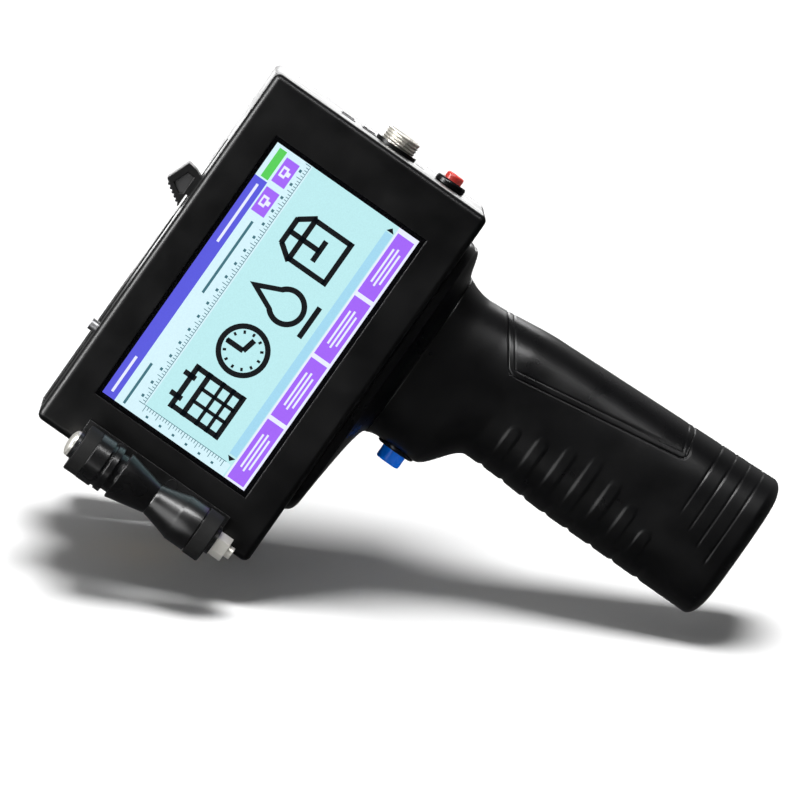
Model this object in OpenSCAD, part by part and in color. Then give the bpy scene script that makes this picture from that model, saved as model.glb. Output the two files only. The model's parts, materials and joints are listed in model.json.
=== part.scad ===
// Handheld date code inkjet printer.
// The origin is the centre of the grip's flat underside. +X points to the port side, -X is the printing side,
// the screen faces -Y, and +Z runs up the grip.

/* [Box] */
// Width of the screen box
box_w = 131.2; // [131:0.2:133]
// Height of the screen box
box_h = 80; // [80:0.5:82]
// Depth of the screen box, front to back
box_d = 66; // [66:1:70]
// Height of the box above the grip's underside
box_bottom = 126; // [126:0.5:128]
// Distance from the grip's axis to the box's port side
port_side = 41.4; // [41:0.2:42]
// Wall thickness of the box
wall = 2.4; // [2.2:0.1:2.6]
// Radius on the box's outer edges
edge_r = 2.2; // [1.5:0.1:2.4]
// Depth of the front bezel
bezel_d = 12; // [12:0.5:13]

/* [Display] */
// Width of the visible picture
picture_w = 95.04; // [94:0.02:95.04]
// Height of the visible picture
picture_h = 53.86; // [53:0.02:53.86]
// Black border between the picture and the bezel's window
border = 1.6; // [1:0.1:2]

/* [Grip] */
// Front to back size of the grip at its underside
grip_w = 51; // [50:0.5:52]
// Side to side size of the grip at its underside
grip_d = 40; // [39:0.5:42]
// Height of the grip shells
grip_h = 118.4; // [118:0.1:118.5]
// Wall thickness of the grip shells
grip_wall = 2.6; // [2.4:0.1:2.8]

/* [Buttons] */
// Height of the trigger's axis
trigger_z = 106.9; // [106:0.1:108]
// Travel of the trigger button
trigger_travel = 2; // [1:0.1:2.2]
// Height of the power button's axis
power_z = 140.9; // [140:0.1:142]
// Travel of the power button
power_travel = 1.2; // [0.6:0.1:1.5]

/* [Rollers] */
// Largest radius of a guide roller
roller_r = 8.2; // [7.5:0.1:8.3]
// Distance of a roller's axis from the box's front or back face
roller_stand_off = 11; // [11:0.2:13]
// Radius of a roller's bolt
bolt_r = 2; // [1.8:0.1:2.1]

/* [Cartridge] */
// Length of the print cartridge, from its back to its nozzle side
cartridge_l = 69; // [68:0.5:69.5]
// Height of the print cartridge
cartridge_h = 55.6; // [54:0.2:56]
// Thickness of the print cartridge
cartridge_t = 24; // [23:0.5:24]

/* [Hidden] */
$fn = 48;

small_gap = 0.15;
print_side = port_side - box_w;
box_x = (port_side + print_side) / 2;
box_top = box_bottom + box_h;
box_z = box_bottom + box_h / 2;
front_y = -box_d / 2;
back_y = box_d / 2;
bezel_back = front_y + bezel_d;
seal_t = 0.4;
housing_front = bezel_back + seal_t;
inner_left = print_side + wall;
inner_right = port_side - wall;
inner_floor = box_bottom + wall;
inner_top = box_top - wall;

picture_z = box_z + 0.5;
window_w = picture_w + 2 * border;
window_h = picture_h + 2 * border;
panel_w = window_w + 6;
panel_h = window_h + 5;
panel_t = 1.2;
panel_y = front_y + wall - 1;
lcd_w = 105.4;
lcd_h = 67.2;
lcd_t = 3;
lcd_y = panel_y + panel_t;
frame_t = 1;
frame_y = lcd_y + lcd_t;

board_t = 1.6;
board_y = -19.6;
board_left = -78;
board_right = 32;
board_low = 135.5;
board_high = 196;

port_y = -4;
usb_z = 175.3;
usb_pitch = 8;
usb_w = 13.2;
usb_h = 14.4;
usb_depth = 17;
lamp_z = 152;
connector_z = 161.3;
connector_r = 6;
connector_tip = port_side + 5.5;
ring_nut_t = 1.2;
connector_neck_r = 5.6;
flange_r = 6.7;
connector_back = 28;
thread_start = port_side + ring_nut_t + 0.2;

screw_r = 1.45;
pilot_r = 1.5;

column_places = [[print_side + 5.8, box_bottom + 5], [port_side - 4.4, box_bottom + 5],
                 [port_side - 4.4, box_top - 5]];
column_r = 3.2;
frame_ear_z = 26;
frame_screw_places = [for (side = [-1, 1], level = [-1, 1])
    [box_x + side * 58.5, picture_z + level * frame_ear_z]];
standoff_places = [for (side = [-1, 1], level = [-1, 1]) [box_x + side * 50, box_z + level * 25]];

bay_floor = 144.5;
bay_half = cartridge_t / 2 + 0.4;
cradle_wall = 2;
cradle_half = bay_half + cradle_wall;
cartridge_back = -17;
cartridge_front = cartridge_back - cartridge_l;
cartridge_floor = bay_floor + 1.8;
snout_half = 6.5;
nose_proud = 5.1;
nose_low = 142;
nose_high = 190;

latch_x = -4;
latch_z = 196;
latch_half = 7;
latch_pin_r = 1.5;
latch_hub_r = 4.4;

roller_x = -89.2;
roller_top = 191.6;
roller_length = 52;
roller_low = roller_top - roller_length;
lug_t = 1.2;
lug_r = 4.5;
bracket_t = 1.5;
bracket_right = -80.8;
waist_drop = 29.7;
bracket_screw_drops = [13, 32.5];

grip_bottom_r = 8;
grip_bottom_h = 4;
grip_power = 2.6;
seat_x = -34.6;
trigger_r = 5;
cover_low = 32;
cover_high = 92.3;

// ---------- shared shapes ----------

// a cylinder of radius r and length l whose start is at p and whose axis is X, Y or Z
module rod_x(p, r, l) { translate(p) rotate([0, 90, 0]) cylinder(r = r, h = l); }
module rod_y(p, r, l) { translate(p) rotate([-90, 0, 0]) cylinder(r = r, h = l); }
module rod_z(p, r, l) { translate(p) cylinder(r = r, h = l); }

// a block between two corners
module block(low, high) { translate(low) cube(high - low); }

// a pan head screw whose head's seat is at p and whose shank points along +Y, turned to face -Y if dir is -1
module screw_y(p, dir, head_r, head_h, r, l) {
    translate(p) rotate([dir > 0 ? -90 : 90, 0, 0]) {
        translate([0, 0, -head_h]) cylinder(r = head_r, h = head_h);
        cylinder(r = r, h = l);
    }
}

// a box with rounded corners along Y and rounded edges on the face at face_y; the other end is square
module rounded_shell(face_y, open_y) {
    dir = open_y > face_y ? 1 : -1;
    hull() for (x = [print_side + edge_r, port_side - edge_r], z = [box_bottom + edge_r, box_top - edge_r]) {
        translate([x, face_y + dir * edge_r, z]) sphere(r = edge_r, $fn = 32);
        rod_y([x, min(open_y, face_y + dir * edge_r), z], edge_r, abs(open_y - face_y) - edge_r, $fn = 32);
    }
}

// ---------- the grip's outline ----------

function smooth(a, b, v) = let (t = min(1, max(0, (v - a) / (b - a)))) t * t * (3 - 2 * t);

// how far the outline draws in at height z, because of the rounded underside and the rounded rim
function end_inset(z) = z < grip_bottom_h
    ? grip_bottom_r * (1 - sqrt(max(0, 1 - pow(1 - z / grip_bottom_h, 2))))
    : max(0, z - (grip_h - 1.2)) * 0.8;

// the front narrows above the fingers, swells round the trigger, then flares to meet the collar
front_flare_z = 114;
front_flare = 1.3;
function grip_front(z) = -grip_w / 2 + 1.1 * smooth(55, 83, z) - 11 * smooth(88, 100.5, z)
    - front_flare * pow(max(0, z - front_flare_z) / (grip_h - front_flare_z), 2);
// the back leans in towards the web of the hand, then flares to meet the collar
web_z = 109;
flare_out = 2.9;
function grip_back(z) = grip_w / 2 - 0.4 - 0.036 * z - 1.6 * smooth(84, web_z, z)
    + flare_out * pow(max(0, z - web_z) / (grip_h - web_z), 2);
function grip_half(z) = lookup(z, [[0, grip_d / 2], [60, grip_d / 2 - 1], [85, grip_d / 2 - 1.8],
                                   [grip_h, grip_d / 2 + 0.5]]);

// a closed rounded outline at height z, starting at its back
ring_points = 44;
function rounded_ring(front, back, half, z) = [for (i = [0:ring_points - 1])
    let (a = 360 * i / ring_points, c = cos(a), s = sin(a), mid = (front + back) / 2)
    [mid + sign(c) * (back - front) / 2 * pow(abs(c), 2 / grip_power),
     -sign(s) * half * pow(abs(s), 2 / grip_power), z]];

// a solid through rings of equal length, listed from the lowest to the highest
module loft(rings) {
    count = len(rings[0]);
    top = len(rings) - 1;
    side = [for (i = [0:top - 1], j = [0:count - 1])
        [i * count + j, i * count + (j + 1) % count, (i + 1) * count + (j + 1) % count, (i + 1) * count + j]];
    caps = [[for (j = [count - 1:-1:0]) j], [for (j = [0:count - 1]) top * count + j]];
    polyhedron([for (r = rings) each r], concat(side, caps), convexity = 4);
}

function grip_ring(z, inset) = rounded_ring(grip_front(z) + inset, grip_back(z) - inset, grip_half(z) - inset, z);

body_levels = concat([for (z = [12:9:84]) z], [for (z = [88:3:106]) z], [110, 114]);
outer_levels = concat([for (a = [0:18:90]) grip_bottom_h * (1 - cos(a))], body_levels, [117.2, grip_h]);
inner_levels = concat([grip_wall + 0.6, 6], body_levels, [grip_h, grip_h + 2]);

// the whole hollow grip, with a floor and an open top
module grip_tube() {
    difference() {
        loft([for (z = outer_levels) grip_ring(z, end_inset(z))]);
        loft([for (z = inner_levels) grip_ring(z, grip_wall)]);
    }
}

// the outline of the cover let into the back of the grip, drawn in by gap
module cover_prism(gap) {
    beyond = 40;
    rotate([90, 0, 0]) linear_extrude(height = 80, center = true)
        polygon([[4.8 + gap, cover_high - gap], [14.4 + gap, cover_low + 0.8 + gap], [17, cover_low + gap],
                 [beyond, cover_low + 5 + gap], [beyond, cover_high + 24.7 - gap]]);
}

boss_places = [[-8, 97], [0, 12]];
head_seat_y = 15.4;
spigot_screw = [10, 111];

// the near half, whose flat edge lies on y = 0
module grip_shell() {
    difference() {
        union() {
            difference() {
                grip_tube();
                block([-grip_w, 0, -1], [grip_w, grip_d, grip_h + 3]);
            }
            for (p = boss_places) rod_y([p[0], -grip_half(p[1]) + 1, p[1]], 3.6, grip_half(p[1]) - 1.1);
        }
        cover_prism(0);
        rod_x([seat_x - 8, 0, trigger_z], 6.8, 8);
        rod_x([seat_x - 1, 0, trigger_z], trigger_r + 0.05, 12);
        for (p = boss_places) rod_y([p[0], -14, p[1]], pilot_r, 20);
    }
}

module grip_shell_near() { color("#18181a") grip_shell(); }

module grip_shell_far() {
    color("#18181a") difference() {
        mirror([0, 1, 0]) grip_shell();
        for (p = concat(boss_places, [spigot_screw])) {
            rod_y([p[0], -1, p[1]], pilot_r, 20);
            rod_y([p[0], head_seat_y, p[1]], 3, 10);
        }
    }
}

module grip_back_cover() {
    color("#202022") intersection() {
        grip_tube();
        cover_prism(small_gap);
    }
}

module grip_screws() {
    color("silver")
        for (p = concat(boss_places, [spigot_screw]))
            screw_y([p[0], head_seat_y, p[1]], -1, 2.8, 1.6, screw_r, 24);
}

// ---------- collar between the grip and the box ----------

collar_left = -70;
collar_right = 30.9;
collar_plate_z = 123.3;
collar_foot_z = grip_h + 0.2;
collar_rows = 10;

function flare(u) = pow(u, 2.3);

module collar_flare() {
    loft([for (i = [0:collar_rows])
        let (u = i / collar_rows, w = flare(u))
        rounded_ring(-36.7 - 29.3 * w, 22.2 + 7.3 * w, 20.5 + 7.5 * w,
                     collar_foot_z + u * (collar_plate_z - collar_foot_z))]);
}

collar_screw_places = [for (x = [-48, 22], y = [-15, 15]) [x, y]];

module neck_collar() {
    color("#141416") difference() {
        union() {
            collar_flare();
            hull() for (x = [collar_left + 4, collar_right - 4], y = [-26, 26])
                rod_z([x, y, collar_plate_z], 4, box_bottom - collar_plate_z, $fn = 32);
            block([-4, -10, 102], [13, 10, collar_foot_z + 1]);
        }
        rod_z([3, 0, 100], 5, 30);
        rod_y([spigot_screw[0], -20, spigot_screw[1]], pilot_r, 40);
        for (p = collar_screw_places) rod_z([p[0], p[1], box_bottom - 3.2], pilot_r, 4);
    }
}

module collar_screws() {
    color("silver") for (p = collar_screw_places) {
        rod_z([p[0], p[1], inner_floor], 2.8, 1.6);
        rod_z([p[0], p[1], inner_floor - 5], screw_r, 5.2);
    }
}

// ---------- box ----------

module front_bezel() {
    color("#101012") difference() {
        union() {
            difference() {
                rounded_shell(front_y, bezel_back);
                block([inner_left, front_y + wall, inner_floor], [inner_right, bezel_back + 1, inner_top]);
            }
            for (p = frame_screw_places) rod_y([p[0], front_y + wall - 0.5, p[1]], 3, frame_y - front_y - wall + 0.5);
            for (p = column_places) rod_y([p[0], front_y + wall - 0.5, p[1]], column_r, bezel_d - wall + 0.5);
            block([-61, bezel_back - 5, box_top - wall - 5], [-53, housing_front + 4, box_top - wall - 0.1]);
            block([-61, bezel_back - 5, box_top - wall - 5], [-53, bezel_back, box_top - wall + 0.5]);
        }
        block([box_x - window_w / 2, front_y - 1, picture_z - window_h / 2],
              [box_x + window_w / 2, front_y + wall + 1, picture_z + window_h / 2]);
        block([box_x - panel_w / 2, panel_y, picture_z - panel_h / 2],
              [box_x + panel_w / 2, front_y + wall + 1, picture_z + panel_h / 2]);
        for (p = frame_screw_places) rod_y([p[0], front_y + wall + 0.4, p[1]], 1.05, 20);
        for (p = column_places) rod_y([p[0], front_y + wall, p[1]], pilot_r, 20);
        for (drop = bracket_screw_drops) rod_y([bracket_right - 2.2, front_y - 1, roller_top - drop], 1.05, 5);
        rod_z([top_screw_x, top_screw_y, box_top - wall - 6], pilot_r, 10);
    }
}

module housing_seal() {
    color("#060606") difference() {
        block([print_side + 0.6, bezel_back, box_bottom + 0.6], [port_side - 0.6, housing_front, box_top - 0.6]);
        block([inner_left, bezel_back - 1, inner_floor], [inner_right, housing_front + 1, inner_top]);
        for (p = column_places) rod_y([p[0], bezel_back - 1, p[1]], column_r, 3);
        block([-61.2, bezel_back - 1, box_top - 10], [-52.8, housing_front + 1, box_top - wall + 0.6]);
    }
}

// everything that passes through the housing's walls
module housing_openings() {
    block([cartridge_front - 0.8, -bay_half - 0.2, inner_top - 1], [cartridge_back + 0.8, bay_half + 0.2, box_top + 1]);
    block([cartridge_back, -latch_half - 0.6, inner_top - 1], [latch_x + 18, latch_half + 0.6, box_top + 1]);
    block([print_side - 1, -snout_half - 0.5, cartridge_floor + 6], [inner_left + 1, snout_half + 0.5, box_top + 1]);
    for (level = [-1, 1]) block([inner_right - 1, port_y - 6.8, usb_z + level * usb_pitch / 2 - 2.7],
                                [port_side + 1, port_y + 6.8, usb_z + level * usb_pitch / 2 + 2.7]);
    block([inner_right - 1, port_y - 0.85, lamp_z - 1.75], [port_side + 1, port_y + 0.85, lamp_z + 1.75]);
    rod_x([inner_right - 1, port_y, connector_z], connector_neck_r + 0.05, wall + 2);
    rod_x([inner_right - 1, port_y, power_z], 4.05, wall + 2);
    rod_z([3, 0, box_bottom - 1], 6, wall + 2);
    for (p = collar_screw_places) rod_z([p[0], p[1], box_bottom - 1], pilot_r, wall + 2);
    rod_z([top_screw_x, top_screw_y, inner_top - 1], pilot_r, wall + 2);
    for (p = column_places) {
        rod_y([p[0], housing_front - 1, p[1]], pilot_r, box_d);
        rod_y([p[0], back_y - 3, p[1]], 3, 4);
    }
    for (drop = bracket_screw_drops) rod_y([bracket_right - 2.2, back_y - wall - 1, roller_top - drop], 1.05, 5);
    for (p = cradle_screw_places) rod_y([p[0], back_y - wall - 1, p[1]], pilot_r, 5);
}

module rear_housing() {
    color("#121214") difference() {
        union() {
            difference() {
                rounded_shell(back_y, housing_front);
                block([inner_left, housing_front - 1, inner_floor], [inner_right, back_y - wall, inner_top]);
            }
            for (p = column_places) rod_y([p[0], housing_front, p[1]], column_r, back_y - 1 - housing_front);
            for (p = side_board_posts) rod_z([p[0], p[1], side_board_z + board_t], 2.4, inner_top - side_board_z - 1);
        }
        housing_openings();
        for (p = side_board_posts) rod_z([p[0], p[1], side_board_z], 1.05, 8);
    }
}

module housing_screws() {
    color("silver") for (p = column_places)
        screw_y([p[0], back_y - 3, p[1]], -1, 2.7, 1.8, screw_r, back_y - 3 - (front_y + wall) - 2);
}

top_screw_x = -57.1;
top_screw_y = -18;

module top_screw() {
    color("#8c8c90") {
        rod_z([top_screw_x, top_screw_y, box_top], 1.9, 2.4);
        rod_z([top_screw_x, top_screw_y, box_top - 7], screw_r, 7.2);
    }
}

// ---------- display and boards ----------

module touch_panel() {
    color("#0a0a0c") block([box_x - panel_w / 2 + 0.1, panel_y, picture_z - panel_h / 2 + 0.1],
                           [box_x + panel_w / 2 - 0.1, panel_y + panel_t, picture_z + panel_h / 2 - 0.1]);
}

module lcd_module() {
    color("#bfe9ee") block([box_x - lcd_w / 2, lcd_y, picture_z - lcd_h / 2],
                           [box_x + lcd_w / 2, lcd_y + lcd_t, picture_z + lcd_h / 2]);
}

module display_frame() {
    color("silver") difference() {
        union() {
            block([box_x - lcd_w / 2, frame_y, picture_z - lcd_h / 2],
                  [box_x + lcd_w / 2, frame_y + frame_t, picture_z + lcd_h / 2]);
            for (level = [-frame_ear_z, frame_ear_z])
                block([box_x - 61, frame_y, picture_z + level - 4],
                      [box_x + 61, frame_y + frame_t, picture_z + level + 4]);
        }
        block([box_x - 40, frame_y - 1, picture_z - 20], [box_x + 40, frame_y + 2, picture_z + 20]);
        for (p = frame_screw_places) rod_y([p[0], frame_y - 1, p[1]], 1.1, 4);
    }
}

module frame_screws() {
    color("silver") for (p = frame_screw_places) screw_y([p[0], frame_y + frame_t, p[1]], -1, 1.9, 1.3, 1, 3.4);
}

module main_board() {
    color("#1f6b3a") difference() {
        block([board_left, board_y, board_low], [board_right, board_y + board_t, board_high]);
        for (p = standoff_places) rod_y([p[0], board_y - 1, p[1]], 1.1, 4);
    }
}

module board_components() {
    color("#2b2b2e") {
        block([-38, board_y - 1.4, 160], [-22, board_y, 176]);
        for (z = [150, 168]) block([-58, board_y - 1.1, z], [-46, board_y, z + 9]);
        for (x = [-10:7:11]) rod_y([x, board_y - 4.5, 186], 2.5, 4.5);
        block([0, board_y - 4, 138], [18, board_y, 144]);
        block([-2, board_y + board_t, 137], [10, board_y + board_t + 3, 143]);
    }
}

module board_standoffs() {
    color("#c9a24a") for (p = standoff_places) difference() {
        translate([p[0], frame_y + frame_t, p[1]]) rotate([-90, 0, 0])
            cylinder(r = 2.6, h = board_y - frame_y - frame_t, $fn = 6);
        rod_y([p[0], frame_y, p[1]], 1.05, 12);
    }
}

module board_screws() {
    color("silver") for (p = standoff_places) screw_y([p[0], board_y + board_t, p[1]], -1, 1.9, 1.3, 1, 6);
}

module buzzer() {
    color("#1a1a1a") rod_y([20, board_y + board_t, 150], 5, 4.5);
}

side_board_z = usb_z + usb_h / 2 + 0.2;
side_board_posts = [[14, 20], [34, 20]];

module side_board() {
    color("#1f6b3a") difference() {
        block([9, -14, side_board_z], [38, 24, side_board_z + board_t]);
        for (p = side_board_posts) rod_z([p[0], p[1], side_board_z - 1], 1.1, 4);
    }
}

// the two stacked ports' steel shell, open towards +X
module usb_shell() {
    color("silver") difference() {
        block([port_side - usb_depth, port_y - usb_w / 2, usb_z - usb_h / 2],
              [inner_right, port_y + usb_w / 2, usb_z + usb_h / 2]);
        for (level = [-1, 1]) block([port_side - usb_depth + 1.5, port_y - 6.2, usb_z + level * usb_pitch / 2 - 2.4],
                                    [port_side, port_y + 6.2, usb_z + level * usb_pitch / 2 + 2.4]);
    }
    color("silver") difference() {
        for (level = [-1, 1]) block([inner_right - 0.5, port_y - 6.6, usb_z + level * usb_pitch / 2 - 2.6],
                                    [port_side + 0.3, port_y + 6.6, usb_z + level * usb_pitch / 2 + 2.6]);
        for (level = [-1, 1]) block([inner_right - 2, port_y - 6.2, usb_z + level * usb_pitch / 2 - 2.4],
                                    [port_side + 1, port_y + 6.2, usb_z + level * usb_pitch / 2 + 2.4]);
    }
}

module usb_tongues() {
    color("white") for (level = [-1, 1]) block([port_side - usb_depth + 1.5, port_y - 5.5, usb_z + level * 4 + 0.2],
                                               [port_side - 3, port_y + 5.5, usb_z + level * 4 + 2]);
}

module status_lamp() {
    color("#3a3f3c") {
        block([inner_right, port_y - 0.8, lamp_z - 1.7], [port_side + 0.1, port_y + 0.8, lamp_z + 1.7]);
        block([inner_right - 3, port_y - 1.6, lamp_z - 2.5], [inner_right, port_y + 1.6, lamp_z + 2.5]);
    }
}

// ---------- threaded connector ----------

module connector_shell() {
    color("#c8c8cc") difference() {
        union() {
            rod_x([connector_back, port_y, connector_z], connector_neck_r, connector_tip - 1 - connector_back);
            rod_x([thread_start, port_y, connector_z], connector_r, connector_tip - thread_start);
            rod_x([inner_right - 1.5, port_y, connector_z], flange_r, 1.5);
        }
        rod_x([connector_back - 1, port_y, connector_z], 4.8, connector_tip + 2 - connector_back);
    }
}

module connector_ring_nut() {
    color("#0e0e10") difference() {
        rod_x([port_side, port_y, connector_z], 7.25, ring_nut_t);
        rod_x([port_side - 1, port_y, connector_z], connector_neck_r + 0.02, ring_nut_t + 2);
    }
}

pin_places = [for (a = [45:90:315]) [port_y + 2.4 * cos(a), connector_z + 2.4 * sin(a)]];

module connector_insert() {
    color("#151515") difference() {
        rod_x([connector_back - 2, port_y, connector_z], 4.78, connector_tip - 3 - connector_back);
        for (p = pin_places) rod_x([connector_back - 3, p[0], p[1]], 0.6, 30);
    }
}

module connector_pins() {
    color("gold") for (p = pin_places) rod_x([connector_back - 5, p[0], p[1]], 0.58, connector_tip + 3.5 - connector_back);
}

// ---------- push buttons ----------

// a coil spring along +X from the origin
module coil_spring(coil_r, wire_r, length, turns) {
    around = 8;
    steps = turns * 16;
    points = [for (i = [0:steps], k = [0:around - 1])
        let (a = 360 * turns * i / steps, b = 360 * k / around, r = coil_r + wire_r * cos(b))
        [wire_r + (length - 2 * wire_r) * i / steps + wire_r * sin(b), r * cos(a), r * sin(a)]];
    side = [for (i = [0:steps - 1], k = [0:around - 1])
        [i * around + k, (i + 1) * around + k, (i + 1) * around + (k + 1) % around, i * around + (k + 1) % around]];
    polyhedron(points, concat(side, [[for (k = [0:around - 1]) k],
                                     [for (k = [around - 1:-1:0]) steps * around + k]]), convexity = 10);
}

// a switch's hollow body along +X: a rim of rim_r by rim_t in front of x = 0 and a tube of r behind it
module switch_body(rim_r, rim_t, r, cap_r, length) {
    difference() {
        union() {
            rod_x([-rim_t, 0, 0], rim_r, rim_t);
            rod_x([-0.5, 0, 0], r, length + 0.5);
        }
        rod_x([-rim_t - 1, 0, 0], cap_r + 0.08, rim_t + 1 + 8);
    }
}

// a hexagon nut along +X
module nut_x(across, hole_r, t) {
    difference() {
        rotate([0, 90, 0]) cylinder(r = across / 2 / cos(30), h = t, $fn = 6);
        rod_x([-1, 0, 0], hole_r, t + 2);
    }
}

trigger_rim_t = 1.7;
trigger_face = seat_x - trigger_rim_t - trigger_travel - 2.3;
trigger_cap_r = 4.1;
trigger_cap_l = 9;
power_rim_t = 2.3;
power_cap_r = 3;
power_face = port_side + power_rim_t + power_travel + 1;
power_body_r = 4;

module trigger_switch_body() {
    color("#0d0d0f") translate([seat_x, 0, trigger_z]) switch_body(6.5, trigger_rim_t, trigger_r, trigger_cap_r, 16);
}

module trigger_switch_nut() {
    color("silver") translate([grip_front(trigger_z) + grip_wall + 2.5, 0, trigger_z]) nut_x(12.5, trigger_r + 0.02, 2.2);
}

module trigger_button_cap() {
    color("#1f6fd0") {
        rod_x([trigger_face, 0, trigger_z], trigger_cap_r, trigger_cap_l);
        rod_x([trigger_face + trigger_cap_l - 0.5, 0, trigger_z], 1.2, 2.5);
    }
}

module trigger_spring() {
    color("silver") translate([trigger_face + trigger_cap_l + 0.1, 0, trigger_z])
        coil_spring(2.4, 0.3, seat_x + 8 - trigger_face - trigger_cap_l - 0.2, 3);
}

module power_switch_body() {
    color("#0d0d0f") translate([port_side, port_y, power_z]) rotate([0, 0, 180])
        switch_body(5.2, power_rim_t, power_body_r, power_cap_r, 14);
}

module power_switch_nut() {
    color("silver") translate([inner_right - 2.2, port_y, power_z]) nut_x(11, power_body_r + 0.02, 2.2);
}

module power_button_cap() {
    color("#d8232a") {
        rod_x([power_face - 7.5, port_y, power_z], power_cap_r, 7.5);
        rod_x([power_face - 9.5, port_y, power_z], 1, 2.5);
    }
}

module power_spring() {
    color("silver") translate([power_face - 7.6, port_y, power_z]) rotate([0, 0, 180])
        coil_spring(2, 0.25, power_face - 7.7 - (port_side - 8), 3);
}

// ---------- battery and wires ----------

cell_r = 9.2;
cell_l = 65;
cell_low = 20.5;

module battery_holder() {
    color("#2a2a2c") {
        block([-18.6, -7, cell_low - 1.5], [17.6, 11, cell_low]);
        block([-15, cell_r + 0.3, cell_low - 0.5], [13.5, 11, cell_low + cell_l + 0.5]);
        block([-15, -6, cell_low + cell_l], [13.5, 11, cell_low + cell_l + 1.5]);
    }
}

module battery_cells() {
    color("#2f6f9f") for (side = [-1, 1]) rod_z([-0.5 + side * 9.35, 0, cell_low], cell_r, cell_l);
}

module battery_board() {
    color("#1f6b3a") block([-15, -6, cell_low + cell_l + 1.5], [13.5, 6, cell_low + cell_l + 2.7]);
}

// wires from the battery board through the collar to the main board
module power_wires() {
    route = [[3, 0, cell_low + cell_l + 3.6], [3, 0, 125], [3, -4, 133], [4, board_y + board_t + 4.4, 140]];
    color("#b03030") for (i = [0:len(route) - 2])
        hull() for (p = [route[i], route[i + 1]]) translate(p) sphere(r = 0.8, $fn = 16);
}

// ---------- cartridge bay ----------

cradle_screw_places = [[-70, 160], [-30, 160]];

module cartridge_cradle() {
    color("#303034") difference() {
        union() {
            block([inner_left + 0.3, -cradle_half, bay_floor - 2], [cartridge_back + 5, cradle_half, bay_floor]);
            for (side = [-1, 1]) block(
                [inner_left + 0.3, side > 0 ? bay_half : -cradle_half, bay_floor - 0.5],
                [cartridge_back + 5, side > 0 ? cradle_half : -bay_half, inner_top - 0.2]);
            for (side = [-1, 1]) block(
                [cartridge_back + 4, side > 0 ? bay_half : -cradle_half, latch_z - 10],
                [latch_x + 6, side > 0 ? cradle_half : -bay_half, inner_top - 0.2]);
            for (p = cradle_screw_places) rod_y([p[0], cradle_half - 0.5, p[1]], 4, back_y - wall - cradle_half + 0.5);
        }
        rod_y([latch_x, -cradle_half - 1, latch_z], latch_pin_r + 0.02, 2 * cradle_half + 2);
        for (p = cradle_screw_places) rod_y([p[0], cradle_half + 4, p[1]], pilot_r, 40);
    }
}

module cradle_screws() {
    color("silver") for (p = cradle_screw_places) screw_y([p[0], back_y, p[1]], -1, 2.8, 1.8, screw_r, 10);
}

module contact_board() {
    color("#b8860b") {
        block([-80, -9, bay_floor], [-58, 9, bay_floor + 1]);
        for (x = [-78:3:-60], y = [-6:4:6]) rod_z([x, y, bay_floor + 0.9], 0.5, 0.7, $fn = 16);
    }
}

// the guide round the nozzle, open at the top so that the cartridge lifts out
module nose_piece() {
    color("#1a1a1c") difference() {
        block([print_side - nose_proud, -13, nose_low], [print_side, 13, nose_high]);
        block([print_side - nose_proud - 1, -snout_half - 0.5, cartridge_floor + 6],
              [print_side + 1, snout_half + 0.5, nose_high + 1]);
    }
}

module print_cartridge() {
    color("#2c2c30") difference() {
        union() {
            block([cartridge_front, -cartridge_t / 2, cartridge_floor],
                  [cartridge_back, cartridge_t / 2, cartridge_floor + cartridge_h]);
            block([print_side - nose_proud + 1, -snout_half, cartridge_floor + 8],
                  [cartridge_front + 1, snout_half, cartridge_floor + 36]);
            block([cartridge_front + 10, -8, cartridge_floor + cartridge_h - 1],
                  [cartridge_back - 14, 8, cartridge_floor + cartridge_h + 1.5]);
        }
        block([cartridge_back - 12, -13, cartridge_floor + cartridge_h - 6],
              [cartridge_back - 5, -9, cartridge_floor + cartridge_h + 1]);
    }
}

module nozzle_strip() {
    color("#c9a24a") block([print_side - nose_proud + 0.7, -3, cartridge_floor + 11],
                           [print_side - nose_proud + 1, 3, cartridge_floor + 33]);
}

// ---------- cartridge latch ----------

module latch_lever() {
    color("#0f0f11") difference() {
        union() {
            rod_y([latch_x, -latch_half, latch_z], latch_hub_r, 2 * latch_half);
            rotate([90, 0, 0]) linear_extrude(height = 2 * latch_half, center = true)
                polygon([[latch_x - 3.5, latch_z], [latch_x - 3.6, box_top + 1], [-11.9, box_top + 2.6],
                         [-11.2, box_top + 4.6], [-10.4, box_top + 4.8], [-9.6, box_top + 6.6],
                         [-8.6, box_top + 6.9], [-6.7, box_top + 8.7], [1.1, box_top + 5.7],
                         [0.6, box_top + 2.4], [latch_x + 3.5, box_top], [latch_x + 3.5, latch_z]]);
            block([cartridge_back + 0.4, -latch_half, latch_z], [latch_x, latch_half, latch_z + 4]);
        }
        rod_y([latch_x, -latch_half - 1, latch_z], latch_pin_r + 0.05, 2 * latch_half + 2);
    }
}

module latch_pin() {
    color("silver") rod_y([latch_x, -cradle_half, latch_z], latch_pin_r, 2 * cradle_half);
}

module latch_spring() {
    color("silver") translate([latch_x, latch_half + 0.4, latch_z]) rotate([0, 0, 90])
        coil_spring(2.6, 0.35, 4.4, 4);
}

// ---------- guide rollers ----------

near_axis_y = front_y - roller_stand_off;

// mirrors its children to the back of the box
module at_far_side() { mirror([0, 1, 0]) children(); }

module roller_bracket() {
    difference() {
        union() {
            block([print_side + 0.4, front_y - bracket_t, roller_low - lug_t],
                  [bracket_right, front_y, roller_top]);
            for (z = [roller_low - lug_t, roller_top - lug_t]) {
                block([roller_x - lug_r, near_axis_y, z], [roller_x + lug_r, front_y, z + lug_t]);
                rod_z([roller_x, near_axis_y, z], lug_r, lug_t);
            }
        }
        rod_z([roller_x, near_axis_y, roller_low - 5], bolt_r + 0.02, roller_length + 10);
        for (drop = bracket_screw_drops)
            rod_y([bracket_right - 2.2, front_y - 3, roller_top - drop], 1.1, 5);
    }
}

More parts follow.
